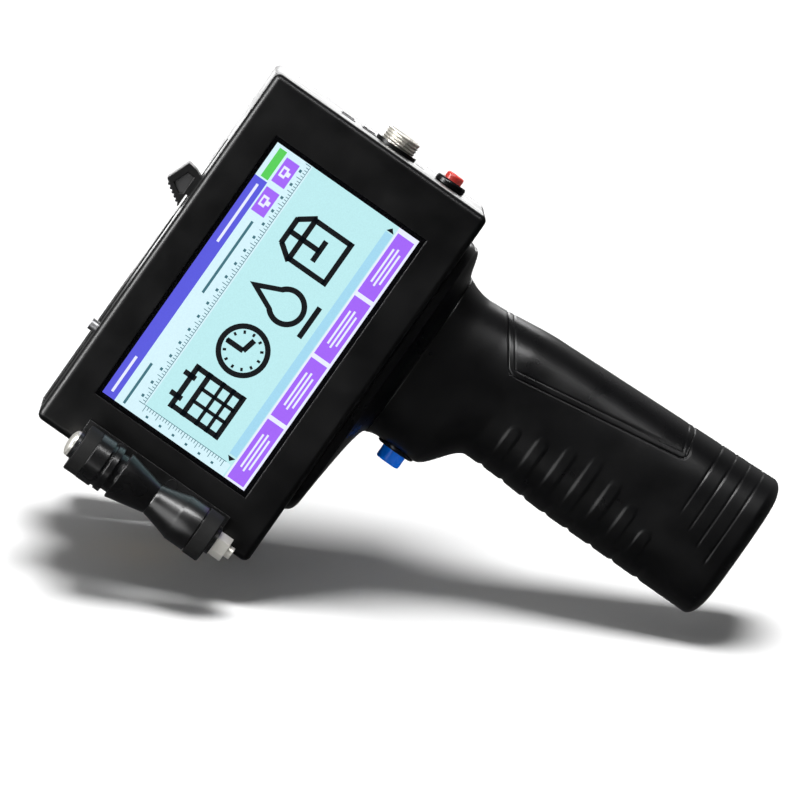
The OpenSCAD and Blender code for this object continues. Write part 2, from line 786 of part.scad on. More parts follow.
module near_roller_bracket() { color("#202022") roller_bracket(); }
module far_roller_bracket() { color("#202022") at_far_side() roller_bracket(); }

module bracket_screw_pair() {
    for (drop = bracket_screw_drops)
        screw_y([bracket_right - 2.2, front_y - bracket_t, roller_top - drop], 1, 1.8, 1.2, 1, 3.6);
}

module bracket_screws() {
    color("silver") {
        bracket_screw_pair();
        at_far_side() bracket_screw_pair();
    }
}

bolt_end = roller_low - lug_t - 6.5;

module roller_bolt() {
    rod_z([roller_x, near_axis_y, bolt_end], bolt_r, roller_top - bolt_end + 0.5);
    translate([roller_x, near_axis_y, roller_top]) rotate_extrude()
        polygon(concat([[0, 0], [4.45, 0]], [for (a = [10:16:90]) [4.45 * cos(a), 0.5 + 1.7 * sin(a)]]));
}

module roller_bolts() {
    color("#d0d0d4") {
        roller_bolt();
        at_far_side() roller_bolt();
    }
}

module roller_nut() {
    translate([roller_x, near_axis_y, roller_low - lug_t - 4.5]) difference() {
        cylinder(r = 3.5 / cos(30), h = 4.5, $fn = 6);
        translate([0, 0, -1]) cylinder(r = bolt_r + 0.02, h = 7);
    }
}

module roller_nuts() {
    color("#d0d0d4") {
        roller_nut();
        at_far_side() roller_nut();
    }
}

// half of a roller's section, as [radius, distance below its top], without the rubber bands
drum_gap = 0.15;
bore_r = bolt_r + 0.06;
band_r = 7.2;
top_band_end = 6;
low_band_start = 46.5;
upper_section = [
    [bore_r, lug_t + drum_gap], [band_r, lug_t + drum_gap], [band_r, top_band_end], [8.1, top_band_end],
    [8.1, 11.1], [7.4, 11.3], [7.4, 12.1], [7.9, 12.2], [7.9, 14.5], [6.6, 14.7], [6.6, 16.7], [7.9, 17],
    [5.2, waist_drop], [bore_r, waist_drop]
];
lower_section = [
    [bore_r, waist_drop], [5.2, waist_drop], [7.6, 38.6], [7.9, 39.8], [7.9, low_band_start - 0.4],
    [band_r, low_band_start - 0.4], [band_r, roller_length - drum_gap], [bore_r, roller_length - drum_gap]
];
magnet_r = 4;
magnet_l = 4;

module turned(section) {
    translate([roller_x, near_axis_y, roller_top]) rotate_extrude($fn = 64)
        polygon([for (p = section) [p[0], -p[1]]]);
}

module roller_drums() {
    turned(upper_section);
    difference() {
        turned(lower_section);
        rod_z([roller_x, near_axis_y, roller_top - waist_drop - magnet_l], magnet_r + 0.02, magnet_l + 1);
    }
}

module roller_bands() {
    turned([[band_r, lug_t + drum_gap], [7.8, lug_t + drum_gap], [8, lug_t + 0.6], [8, top_band_end],
            [band_r, top_band_end]]);
    turned([[band_r, low_band_start], [roller_r, low_band_start], [roller_r, roller_length - 0.6],
            [7.9, roller_length - drum_gap], [band_r, roller_length - drum_gap]]);
}

module near_roller_drums() { color("#161618") roller_drums(); }
module far_roller_drums() { color("#161618") at_far_side() roller_drums(); }
module near_roller_bands() { color("#0a0a0a") roller_bands(); }
module far_roller_bands() { color("#0a0a0a") at_far_side() roller_bands(); }

module encoder_magnet() {
    color("#505058") difference() {
        rod_z([roller_x, near_axis_y, roller_top - waist_drop - magnet_l], magnet_r, magnet_l);
        rod_z([roller_x, near_axis_y, roller_low], bore_r, roller_length);
    }
}

module encoder_board() {
    color("#1f6b3a") {
        block([-88.6, front_y - bracket_t - 0.8, 155], [-86.4, front_y - bracket_t, 167]);
        block([-88.4, front_y - bracket_t - 1.6, 158.5], [-86.6, front_y - bracket_t - 0.7, 161.5]);
    }
}

front_bezel();
housing_seal();
rear_housing();
touch_panel();
lcd_module();
display_frame();
frame_screws();
main_board();
board_components();
board_standoffs();
board_screws();
buzzer();
side_board();
usb_shell();
usb_tongues();
status_lamp();
connector_shell();
connector_ring_nut();
connector_insert();
connector_pins();
power_switch_body();
power_switch_nut();
power_button_cap();
power_spring();
trigger_switch_body();
trigger_switch_nut();
trigger_button_cap();
trigger_spring();
neck_collar();
collar_screws();
grip_shell_near();
grip_shell_far();
grip_back_cover();
grip_screws();
battery_holder();
battery_cells();
battery_board();
power_wires();
housing_screws();
top_screw();
cartridge_cradle();
cradle_screws();
contact_board();
nose_piece();
print_cartridge();
nozzle_strip();
latch_lever();
latch_pin();
latch_spring();
near_roller_bracket();
far_roller_bracket();
bracket_screws();
roller_bolts();
roller_nuts();
near_roller_drums();
near_roller_bands();
far_roller_drums();
far_roller_bands();
encoder_magnet();
encoder_board();
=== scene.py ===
"""Looks for the handheld date code inkjet printer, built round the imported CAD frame."""
import json
import math

import bmesh
import bpy
import numpy as np
from mathutils import Matrix, Vector


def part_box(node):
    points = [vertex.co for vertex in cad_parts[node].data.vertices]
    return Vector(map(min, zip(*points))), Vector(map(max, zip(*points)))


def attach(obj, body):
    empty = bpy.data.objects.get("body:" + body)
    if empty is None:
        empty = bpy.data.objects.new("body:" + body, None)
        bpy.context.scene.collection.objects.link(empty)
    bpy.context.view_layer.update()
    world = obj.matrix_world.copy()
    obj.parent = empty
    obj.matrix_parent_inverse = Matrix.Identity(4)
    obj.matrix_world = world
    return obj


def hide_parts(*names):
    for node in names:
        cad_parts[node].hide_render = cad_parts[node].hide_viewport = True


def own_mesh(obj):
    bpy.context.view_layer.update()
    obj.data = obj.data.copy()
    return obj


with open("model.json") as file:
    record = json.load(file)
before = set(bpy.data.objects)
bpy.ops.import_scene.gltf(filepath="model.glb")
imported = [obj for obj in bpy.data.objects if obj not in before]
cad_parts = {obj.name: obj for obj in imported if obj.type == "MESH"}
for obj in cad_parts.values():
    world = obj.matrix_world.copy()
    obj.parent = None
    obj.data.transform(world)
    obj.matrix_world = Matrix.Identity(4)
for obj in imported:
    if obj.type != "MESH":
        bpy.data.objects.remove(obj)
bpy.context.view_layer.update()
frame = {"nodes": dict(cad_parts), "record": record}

MM = 0.001
BODY = "printer_body"
X_AXIS, Y_AXIS, Z_AXIS = Vector((1, 0, 0)), Vector((0, 1, 0)), Vector((0, 0, 1))
CREASE_ANGLE = math.radians(32)


# ---- finishes

class Nodes:
    """Short calls for building a node tree."""

    def __init__(self, tree):
        self.tree = tree

    def node(self, kind, *values, **settings):
        """A new node with these settings, whose first inputs get values in order."""
        made = self.tree.nodes.new(kind)
        for key, value in settings.items():
            setattr(made, key, value)
        for socket, value in zip(made.inputs, values):
            self.put(socket, value)
        return made

    def link(self, source, target):
        self.tree.links.new(source, target)

    def put(self, socket, value):
        """Links value if it is a socket, and writes it if it is a number, a colour or a direction."""
        if isinstance(value, bpy.types.NodeSocket):
            self.link(value, socket)
        else:
            socket.default_value = value

    def product(self, a, b):
        return self.node("ShaderNodeMath", a, b, operation="MULTIPLY").outputs["Value"]

    def facing(self, a, b):
        """The cosine of the angle between two directions."""
        return self.node("ShaderNodeVectorMath", a, b, operation="DOT_PRODUCT").outputs["Value"]

    def spread(self, value, low, high, to_low, to_high):
        """Maps value from the range low to high onto the range to_low to to_high."""
        return self.node("ShaderNodeMapRange", value, low, high, to_low, to_high).outputs["Result"]

    def mix(self, share, a, b):
        made = self.node("ShaderNodeMix", share, data_type="RGBA")
        self.put(made.inputs[6], a)
        self.put(made.inputs[7], b)
        return made.outputs[2]


class Finish(Nodes):
    """A node material, with short calls for what most finishes share. Lengths are in millimetres."""

    def __init__(self, name, colour, roughness, metallic=0.0):
        self.material = bpy.data.materials.new(name)
        self.material.use_nodes = True
        super().__init__(self.material.node_tree)
        self.tree.nodes.clear()
        self.out = self.node("ShaderNodeOutputMaterial")
        self.bsdf = self.node("ShaderNodeBsdfPrincipled")
        self.link(self.bsdf.outputs["BSDF"], self.out.inputs["Surface"])
        self.colour = (*colour, 1.0)
        self.roughness = roughness
        self.set("Base Color", self.colour)
        self.set("Roughness", roughness)
        self.set("Metallic", metallic)
        self.place = self.millimetres()

    def set(self, name, value):
        """Gives the surface shader's input of this name a socket's or a fixed value."""
        self.put(self.bsdf.inputs[name], value)

    def millimetres(self, stretch=(1, 1, 1)):
        """The object's own coordinates in millimetres, multiplied by stretch."""
        place = self.node("ShaderNodeTexCoord").outputs["Object"]
        scale = [s / MM for s in stretch]
        return self.node("ShaderNodeVectorMath", place, scale, operation="MULTIPLY").outputs["Vector"]

    def noise(self, size, detail=3, place=None):
        """Noise whose largest patches measure about size."""
        made = self.node("ShaderNodeTexNoise", place or self.place)
        made.inputs["Scale"].default_value = 1 / size
        made.inputs["Detail"].default_value = detail
        return made.outputs["Fac"]

    def round_edges(self, radius):
        """Normals that look as if sharp edges were rounded to radius."""
        made = self.node("ShaderNodeBevel", samples=4)
        made.inputs["Radius"].default_value = radius * MM
        return made.outputs["Normal"]

    def edges(self, radius):
        """1 on sharp edges, 0 on flat stretches."""
        flat = self.node("ShaderNodeNewGeometry").outputs["Normal"]
        return self.spread(self.facing(self.round_edges(radius), flat), 0.98, 0.8, 0.0, 1.0)

    def bump(self, height, depth, edge):
        """Raises the surface by up to depth where height is 1, and rounds its edges to the radius edge."""
        made = self.node("ShaderNodeBump")
        self.link(height, made.inputs["Height"])
        made.inputs["Distance"].default_value = depth * MM
        self.link(self.round_edges(edge), made.inputs["Normal"])
        self.set("Normal", made.outputs["Normal"])

    def vary_roughness(self, amount, size):
        low, high = self.roughness - amount, self.roughness + amount
        self.set("Roughness", self.spread(self.noise(size), 0.3, 0.7, low, high))

    def wear(self, worn_colour, share, size=1.5, radius=0.5):
        """Rubs the edges towards worn_colour, in patches."""
        patches = self.spread(self.noise(size, 4), 0.42, 0.62, 0.0, share)
        rubbed = self.product(self.edges(radius), patches)
        tone = self.spread(self.noise(18), 0.3, 0.7, 0.0, 1.0)
        darker = (*[c * 0.8 for c in self.colour[:3]], 1.0)
        lighter = (*[c * 1.2 for c in self.colour[:3]], 1.0)
        base = self.mix(tone, darker, lighter)
        self.set("Base Color", self.mix(rubbed, base, (*worn_colour, 1.0)))


def moulded(name, colour, roughness, grain=0.25, depth=0.012, edge=0.25, worn=None, shine=0.3):
    """Injection moulded plastic: fine grain, uneven sheen, softly rounded and slightly rubbed edges."""
    made = Finish(name, colour, roughness)
    made.vary_roughness(0.06, 14)
    made.wear(worn or [min(1, c * 2 + 0.03) for c in colour], 0.35)
    made.bump(made.noise(grain, 2), depth, edge)
    made.set("Specular IOR Level", shine)
    return made.material


def metal(name, colour, roughness, grain=0.3, depth=0.006, stretch=(1, 1, 1), metallic=1.0):
    """Bare or plated metal with brighter edges; its fine scratches are drawn out where stretch is small."""
    made = Finish(name, colour, roughness, metallic)
    made.vary_roughness(0.08, 6)
    made.wear([min(1, c * 1.25) for c in colour], 0.5, 0.8, 0.3)
    scratches = made.noise(grain, 3, made.millimetres(stretch))
    made.bump(scratches, depth, 0.15)
    return made.material


def painted(name, colour, roughness):
    """Powder coated steel: a pebbly coat that has worn to bare metal in spots on its edges."""
    made = Finish(name, colour, roughness)
    made.vary_roughness(0.05, 8)
    made.wear((0.28, 0.28, 0.28), 0.5, 1.0, 0.35)
    made.bump(made.noise(0.5, 2), 0.03, 0.25)
    return made.material


def rubber(name, colour):
    """Matt rubber with a coarse, soft grain."""
    made = Finish(name, colour, 0.68)
    made.vary_roughness(0.08, 4)
    made.wear((0.06, 0.06, 0.06), 0.5, 1.2, 0.4)
    made.bump(made.noise(0.35, 4), 0.04, 0.3)
    made.set("Specular IOR Level", 0.2)
    return made.material


def circuit_board(name):
    """Green solder mask over a faint pattern of copper lines."""
    made = Finish(name, (0.01, 0.1, 0.035), 0.35)
    tracks = made.node("ShaderNodeTexBrick", made.place)
    tracks.inputs["Scale"].default_value = 0.4
    tracks.inputs["Mortar Size"].default_value = 0.06
    made.set("Base Color", made.mix(tracks.outputs["Fac"], (0.012, 0.12, 0.04, 1), (0.03, 0.2, 0.07, 1)))
    made.bump(tracks.outputs["Fac"], 0.03, 0.1)
    return made.material


def glass_panel(name):
    """The touch panel's printed black border under clear gloss."""
    made = Finish(name, (0.004, 0.004, 0.005), 0.06)
    made.set("Roughness", made.spread(made.noise(9, 4), 0.45, 0.75, 0.04, 0.2))
    made.bump(made.noise(30, 1), 0.02, 0.2)
    return made.material


def lit(name, colour):
    """A patch of the display: its own light under a thin gloss, with a faint mottle of picture dots."""
    made = Finish(name, [c * 0.05 for c in colour], 0.3)
    made.set("Emission Color", (*colour, 1))
    made.set("Emission Strength", made.spread(made.noise(0.35, 1), 0.3, 0.7, 0.97, 1.03))
    return made.material


def make_finishes():
    """One finish for each material slot in the record, and one for the latch's pads."""
    black = (0.003, 0.003, 0.0034)
    return {
        "bezel": moulded("bezel_black", black, 0.34, 0.4, 0.006, 0.5),
        "housing": moulded("housing_black", black, 0.3, 0.35, 0.012, 0.5),
        "seal": rubber("seal_rubber", (0.004, 0.004, 0.004)),
        "touch_glass": glass_panel("touch_glass"),
        "display": moulded("display_body", (0.02, 0.02, 0.02), 0.4),
        "steel_sheet": metal("sheet_steel", (0.55, 0.55, 0.56), 0.3, 0.2, 0.008, (0.08, 1, 1)),
        "zinc_screws": metal("zinc_screws", (0.62, 0.62, 0.64), 0.28),
        "board": circuit_board("green_board"),
        "components": moulded("black_components", (0.012, 0.012, 0.013), 0.5),
        "standoffs": metal("brass_standoffs", (0.7, 0.48, 0.18), 0.25),
        "white_plastic": moulded("white_tongues", (0.75, 0.75, 0.72), 0.4),
        "lamp_lens": moulded("smoked_lens", (0.02, 0.03, 0.025), 0.12),
        "nickel": metal("nickel_plate", (0.85, 0.82, 0.75), 0.28, 0.25, 0.006, (4, 1, 1), metallic=0.6),
        "black_nut": moulded("black_ring_nut", (0.008, 0.008, 0.008), 0.35),
        "insert": moulded("connector_insert", (0.01, 0.01, 0.01), 0.45),
        "gold_contacts": metal("gold_contacts", (0.83, 0.58, 0.2), 0.22),
        "switch_body": moulded("switch_black", (0.006, 0.006, 0.007), 0.22),
        "red_button": moulded("red_button", (0.9, 0.07, 0.055), 0.28, worn=(0.75, 0.12, 0.1)),
        "spring_steel": metal("spring_steel", (0.5, 0.5, 0.52), 0.25),
        "blue_button": moulded("blue_button", (0.0, 0.16, 0.85), 0.25, worn=(0.03, 0.3, 0.9)),
        "collar": moulded("collar_black", (0.003, 0.003, 0.0035), 0.3, 0.3, 0.012, 0.4),
        "grip": moulded("grip_black", (0.0035, 0.0035, 0.004), 0.32, 0.3, 0.02, 0.3),
        "grip_cover": moulded("grip_cover_black", (0.0035, 0.0035, 0.004), 0.3, 0.3, 0.02, 0.3),
        "holder": moulded("battery_holder", (0.02, 0.02, 0.02), 0.5),
        "cell_wrap": moulded("cell_wrap", (0.03, 0.14, 0.36), 0.3),
        "wire_jacket": moulded("wire_jacket", (0.4, 0.02, 0.02), 0.45),
        "black_screws": metal("black_screws", (0.03, 0.03, 0.032), 0.42, metallic=0.6),
        "grey_screw": metal("grey_screw", (0.32, 0.32, 0.33), 0.4),
        "cradle": moulded("cradle_black", (0.018, 0.018, 0.02), 0.45),
        "contact_board": moulded("contact_film", (0.42, 0.2, 0.03), 0.3),
        "nose": moulded("nose_black", (0.008, 0.008, 0.0085), 0.35),
        "cartridge": moulded("cartridge_shell", (0.02, 0.02, 0.024), 0.38, 0.3, 0.02),
        "latch": moulded("latch_black", (0.004, 0.004, 0.0045), 0.36),
        "latch_pad": moulded("latch_grey_pad", (0.05, 0.05, 0.052), 0.5, 0.4, 0.03),
        "bracket": painted("bracket_coat", (0.012, 0.012, 0.0125), 0.32),
        "bright_bolts": metal("bright_bolts", (0.8, 0.78, 0.72), 0.36, 0.4, 0.003, metallic=0.65),
        "roller_plastic": moulded("roller_black", (0.005, 0.005, 0.0055), 0.3, 0.5, 0.004, shine=0.55),
        "roller_rubber": rubber("roller_rubber", (0.007, 0.007, 0.007)),
        "magnet": painted("magnet_ferrite", (0.05, 0.05, 0.055), 0.5),
    }


SLOT_OF = {row["node"]: row["material_slot"] for row in frame["record"]["subparts"]}
FINISHES = make_finishes()


def dress_cad_nodes():
    """Gives every carried-over CAD node its finish and smooth shading across its round faces."""
    for name, obj in frame["nodes"].items():
        obj.data.materials.clear()
        obj.data.materials.append(FINISHES[SLOT_OF[name]])
        shade_cad(obj)


def shade_cad(obj):
    """Smooth round faces, crisp corners, and large flat faces that keep their own direction."""
    obj.data.shade_smooth()
    weld = obj.modifiers.new("weld", "WELD")
    weld.merge_threshold = 0.002 * MM
    split = obj.modifiers.new("corners", "EDGE_SPLIT")
    split.split_angle = CREASE_ANGLE
    split.use_edge_sharp = False
    obj.modifiers.new("even_normals", "WEIGHTED_NORMAL")


def shade_piece(obj):
    """Smooth faces with crisp creases, for a piece made here."""
    obj.data.shade_smooth()
    obj.data.set_sharp_from_angle(angle=CREASE_ANGLE)


# ---- mesh helpers

def add(name, data):
    """Puts a new object with this data in the scene."""
    obj = bpy.data.objects.new(name, data)
    bpy.context.scene.collection.objects.link(obj)
    return obj


def piece(name, verts, faces, slot, body=BODY, stands_for=()):
    """Makes a mesh object from points in millimetres and puts it on its body."""
    mesh = bpy.data.meshes.new(name)
    mesh.from_pydata([[c * MM for c in v] for v in verts], [], [list(map(int, f)) for f in faces])
    mesh.validate()
    mesh.materials.append(FINISHES[slot])
    obj = add(name, mesh)
    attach(obj, body)
    if stands_for:
        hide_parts(*stands_for)
    return obj


def tidy_mesh(obj):
    """Joins doubled points and turns all faces outwards."""
    work = bmesh.new()
    work.from_mesh(obj.data)
    bmesh.ops.remove_doubles(work, verts=work.verts, dist=0.001 * MM)
    bmesh.ops.recalc_face_normals(work, faces=work.faces)
    work.to_mesh(obj.data)
    work.free()


def cell(row, column, columns):
    """The point numbers at the corners of a cell in a grid of points that is listed row by row."""
    left, right = column, (column + 1) % columns
    here, above = row * columns, (row + 1) * columns
    return here + left, here + right, above + right, above + left


def tube_faces(rings, sides):
    """Quads between rings of points that are listed ring after ring."""
    return [cell(i, j, sides) for i in range(rings - 1) for j in range(sides)]


def closed_tube_faces(rings, sides):
    """The same with a lid on each end."""
    return tube_faces(rings, sides) + [range(sides), range((rings - 1) * sides, rings * sides)]


def turned(name, section, place, axis, slot, body, stands_for, sides=72, ripple=None):
    """A solid of revolution.

    section holds (radius, distance along the axis) from one end to the other, or comes back to its start
    round a bore. ripple(angle, distance, radius) may change the radius."""
    verts = []
    across_1, across_2 = [v for v in (X_AXIS, Y_AXIS, Z_AXIS) if abs(v.dot(axis)) < 0.5]
    for radius, along in section:
        for k in range(sides):
            angle = 2 * math.pi * k / sides
            r = ripple(angle, along, radius) if ripple else radius
            outwards = across_1 * math.cos(angle) + across_2 * math.sin(angle)
            verts.append(place + axis * along + outwards * r)
    has_bore = section[0] == section[-1]
    faces = tube_faces(len(section), sides) if has_bore else closed_tube_faces(len(section), sides)
    obj = piece(name, verts, faces, slot, body, stands_for)
    tidy_mesh(obj)
    shade_piece(obj)


def plate(outline, low, high, first=0):
    """Points and faces of a plate with its outline in XZ between y = low and y = high.

    first is the number of its first point."""
    count = len(outline)
    verts = [(x, y, z) for y in (low, high) for x, z in outline]
    near = list(range(first, first + count))
    far = list(range(first + count, first + 2 * count))
    sides = [(near[k - 1], near[k], far[k], far[k - 1]) for k in range(count)]
    return verts, [near, far[::-1]] + sides


def round_off(obj, radius, steps=3):
    """Rounds a piece's edges with a modifier."""
    bevel = obj.modifiers.new("rounding", "BEVEL")
    bevel.width = radius * MM
    bevel.segments = steps
    bevel.limit_method = "ANGLE"
    bevel.angle_limit = math.radians(35)
    bevel.harden_normals = True
    obj.data.shade_smooth()


def box_mm(node):
    """A node's lowest and highest corners and its centre, in millimetres."""
    low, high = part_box(node)
    return low / MM, high / MM, (low + high) / 2 / MM


# ---- the grip

# Lengths in millimetres, heights from the grip's flat underside, as in the CAD. The grip's sections are
# superellipses; a squareness of 2 would make them ellipses.
GRIP_H = box_mm("grip_shell_near")[1].z
GRIP_WALL = 2.2
HALF_WIDTH = 25.5
HALF_THICKNESS = 20
WEB_Z, WEB_FLARE = 109, 2.9
FRONT_FLARE_Z, FRONT_FLARE = 114, 1.3
SQUARENESS = 2.6
BUTT_ROUND, BUTT_HEIGHT = 8, 4

# The let-in back cover: the foot and top of its long edge in X and Z, then the slope of its top edge.
COVER_SIDE = ((14.4, 32.8), (4.8, 92.3))
COVER_TOP_SLOPE = 0.701
COVER_FOOT = 31.8
COVER_STRIP = 2.0

# Heights of the lines round the butt, with the X where each starts; of the notches between the fingers;
# and of the finger ribs, with the X where each ends.
SLITS = ((23.6, 0.7), (18.4, -2.3), (13.4, -5.3), (8.4, -8.3))
NOTCHES = (82.3, 74.3, 65.9, 57.2, 48.8, 39.9, 31.7, 22.0)
RIBS = ((80.3, -7.6), (71.1, -5.6), (62.2, -3.1), (53.6, -1.3), (44.8, -3.6), (36.5, -7.0), (28.4, -10.8))


def smoothstep(low, high, value):
    """0 below low, 1 above high and an S-curve between them."""
    t = np.clip((value - low) / (high - low), 0, 1)
    return t * t * (3 - 2 * t)


def grip_front(z):
    """X of the grip's front: drawn in above the fingers, swollen round the trigger, flared at the collar."""
    flare = FRONT_FLARE * (np.maximum(0, z - FRONT_FLARE_Z) / (GRIP_H - FRONT_FLARE_Z)) ** 2
    return -HALF_WIDTH + 1.1 * smoothstep(55, 83, z) - 11 * smoothstep(88, 100.5, z) - flare


def grip_back(z):
    """X of the grip's back, which leans in to the web of the hand and flares to meet the collar."""
    lean = 0.4 + 0.036 * z + 1.6 * smoothstep(84, WEB_Z, z)
    return HALF_WIDTH - lean + WEB_FLARE * (np.maximum(0, z - WEB_Z) / (GRIP_H - WEB_Z)) ** 2


def grip_half(z):
    """Half the grip's thickness, which is least a little below the trigger."""
    return HALF_THICKNESS - 1.8 * smoothstep(10, 85, z) + 2.3 * smoothstep(85, GRIP_H + 10, z)


def end_inset(z):
    """How far the outline draws in at the rounded underside and the rounded rim."""
    butt = BUTT_ROUND * (1 - np.sqrt(np.clip(1 - (1 - z / BUTT_HEIGHT) ** 2, 0, 1)))
    rim = 0.4 * smoothstep(GRIP_H - 0.5, GRIP_H, z)
    return np.where(z < BUTT_HEIGHT, butt, rim)


def grip_point(angle, z):
    """A point on the near side at an angle from the back (0) to the front (180)."""
    inset = end_inset(z)
    front, back = grip_front(z) + inset, grip_back(z) - inset
    c, s = np.cos(np.radians(angle)), np.sin(np.radians(angle))
    x = (front + back) / 2 + np.sign(c) * (back - front) / 2 * np.abs(c) ** (2 / SQUARENESS)
    y = -(grip_half(z) - inset) * np.abs(s) ** (2 / SQUARENESS)
    return np.stack([x, y, z * np.ones_like(x)], -1)


def cover_edge_angle(z):
    """The angle, as in grip_point, of the cover's long edge, whose line is drawn on beyond its ends."""
    (x0, z0), (x1, z1) = COVER_SIDE
    edge_x = x0 + (x1 - x0) * (np.clip(z, 26, 101) - z0) / (z1 - z0)
    middle, reach = (grip_front(z) + grip_back(z)) / 2, (grip_back(z) - grip_front(z)) / 2
    share = np.clip((edge_x - middle) / reach, 0, 1)
    return np.degrees(np.arccos(share ** (SQUARENESS / 2)))


def line_distance(x, z, start, end):
    """Distance in the XZ plane from points to a line segment."""
    d = np.array(end) - np.array(start)
    t = np.clip(((x - start[0]) * d[0] + (z - start[1]) * d[1]) / (d @ d), 0, 1)
    return np.hypot(x - start[0] - t * d[0], z - start[1] - t * d[1])


def groove(distance, width, depth):
    """A soft-edged groove along distance 0, as a height below the surface."""
    return -depth * np.exp(-(distance / width) ** 2)


def cover_depth(x, z):
    """Distance inwards from the cover's outline in the grip's side view, with rounded corners."""
    corner = 2.5
    (x0, z0), (x1, z1) = COVER_SIDE
    # Each edge is a point on it and its direction, in X and Z.
    long_edge = (x0, z0, x1 - x0, z1 - z0)
    top_edge = (x1, z1, 1, COVER_TOP_SLOPE)
    foot_edge = (17, COVER_FOOT, -3, -1)
    sides = np.array([((x - px) * dz - (z - pz) * dx) / math.hypot(dx, dz)
                      for px, pz, dx, dz in (long_edge, top_edge, foot_edge)])
    in_corner = np.sqrt((np.maximum(corner - sides, 0) ** 2).sum(axis=0))
    return np.where(in_corner > 0, corner - in_corner, sides.min(axis=0))


def cover_relief(x, z):
    """The double line round the cover: the parting line and a finer line inside it."""
    depth = cover_depth(x, z)
    return groove(depth, 0.24, 0.26) + groove(depth - COVER_STRIP, 0.22, 0.2)


def grip_relief(x, z):
    """How far the surface stands out (or in, if negative) at a point of the grip's side view."""
    relief = cover_relief(x, z)
    for level, start in SLITS:
        relief += groove(z - level, 0.28, 0.22) * smoothstep(start, start + 0.6, x)
    for level in NOTCHES:
        relief += groove(z - level, 0.8, 0.5) * smoothstep(-19.5, -23.5, x)
    for level, end in RIBS:
        near = line_distance(x, z, (-40, level), (end - 1.9, level))
        relief += 0.2 * smoothstep(2.3, 1.5, near) * smoothstep(-25, -18, x)
    return relief


def spaced(places, steps):
    """Numbers from the first place to the last, about one step apart; each stretch has its own step."""
    values = [places[0]]
    for start, end, step in zip(places, places[1:], steps):
        values += list(np.linspace(start, end, round((end - start) / step) + 1)[1:])
    return np.array(values)


def grip_grid():
    """Points of the grip's near side, in rows and columns that are closest together at the cover's outline.

    A column's share runs from 0 at the back, over 1 at the cover's edge, to 2 at the front."""
    butt = [BUTT_HEIGHT * (1 - math.cos(math.radians(a))) for a in np.arange(0, 90, 6)]
    foot = COVER_FOOT + 0.5
    low_share = np.append(butt, spaced([BUTT_HEIGHT, foot], [0.26])) / foot
    corner_z = COVER_SIDE[1][1]
    high = spaced([corner_z, corner_z + 1.2, GRIP_H - 0.6, GRIP_H], [0.15, 0.45, 0.15])
    high_share = (high - high[0]) / (high[-1] - high[0])
    share = spaced([0, 0.9, 1, 1.012, 2], [0.027, 0.0048, 0.003, 0.0122])
    cover_columns = int(np.searchsorted(share, 0.999))
    in_cover = np.clip(share, 0, 1)
    foot_z = foot + 2 * (1 - in_cover)
    top_z = np.full_like(share, corner_z)
    for _ in range(6):
        x = grip_point(in_cover * cover_edge_angle(top_z), top_z)[:, 0]
        top_z = corner_z + np.where(share < 1, (x - COVER_SIDE[1][0]) * COVER_TOP_SLOPE, 0)
    middle = spaced([0, 0.055, 0.945, 1], [0.003, 0.007, 0.003])
    rows = [s * foot_z for s in low_share]
    rows += [foot_z + (top_z - foot_z) * s for s in middle[1:]]
    rows += [top_z + (GRIP_H - top_z) * s for s in high_share[1:]]
    z = np.array(rows)
    edge = cover_edge_angle(z)
    angle = np.where(share <= 1, share * edge, edge + (share - 1) * (180 - edge))
    points = grip_point(angle, z)
    first_cover_row = len(low_share) - 1
    last_cover_row = first_cover_row + len(middle) - 1
    return points, first_cover_row, last_cover_row, cover_columns


def stand_out(points, relief):
    """Moves a grid of points along its own normals."""
    along = np.gradient(points, axis=1)
    up = np.gradient(points, axis=0)
    normal = np.cross(up, along)
    length = np.linalg.norm(normal, axis=-1, keepdims=True)
    normal = np.where(length > 1e-9, normal / np.maximum(length, 1e-9), 0)
    return points + normal * relief[..., None]


TRIGGER_RIM_T, POWER_RIM_T = 1.7, 2.3


def flat_seat(points):
    """X of the points, held back to a flat round seat where the trigger's rim rests."""
    low, high, centre = box_mm("trigger_switch_body")
    radius = (high.z - low.z) / 2 + 0.3
    seat = low.x + TRIGGER_RIM_T
    near = np.hypot(points[..., 1], points[..., 2] - centre.z) < radius
    return np.where(near, np.maximum(points[..., 0], seat), points[..., 0])


UNDERSIDE_ROWS = (0.02, 0.35, 0.7, 0.9)


def with_underside(points):
    """Adds rows that close the flat underside, as shares of the way from its middle to its rim."""
    rim = points[0]
    centre = np.array([(rim[0, 0] + rim[-1, 0]) / 2, 0, rim[0, 2]])
    flat = [centre + (rim - centre) * share for share in UNDERSIDE_ROWS]
    return np.concatenate([np.array(flat), points])


def part_of_grid(points, keep):
    """Points and quads of the cells of a grid where keep(row, column) holds."""
    rows, columns = points.shape[:2]
    faces = [cell(i, j, columns) for i in range(rows - 1) for j in range(columns - 1) if keep(i, j)]
    used = sorted({v for f in faces for v in f})
    index = {v: k for k, v in enumerate(used)}
    flat = points.reshape(-1, 3)
    return [flat[v] for v in used], [[index[v] for v in f] for f in faces]


def shell_piece(name, verts, faces, slot, stands_for):
    """A skin that a modifier thickens inwards to the grip's wall."""
    obj = piece(name, verts, faces, slot, BODY, stands_for)
    wall = obj.modifiers.new("wall", "SOLIDIFY")
    wall.thickness = GRIP_WALL * MM
    wall.offset = -1
    obj.data.shade_smooth()


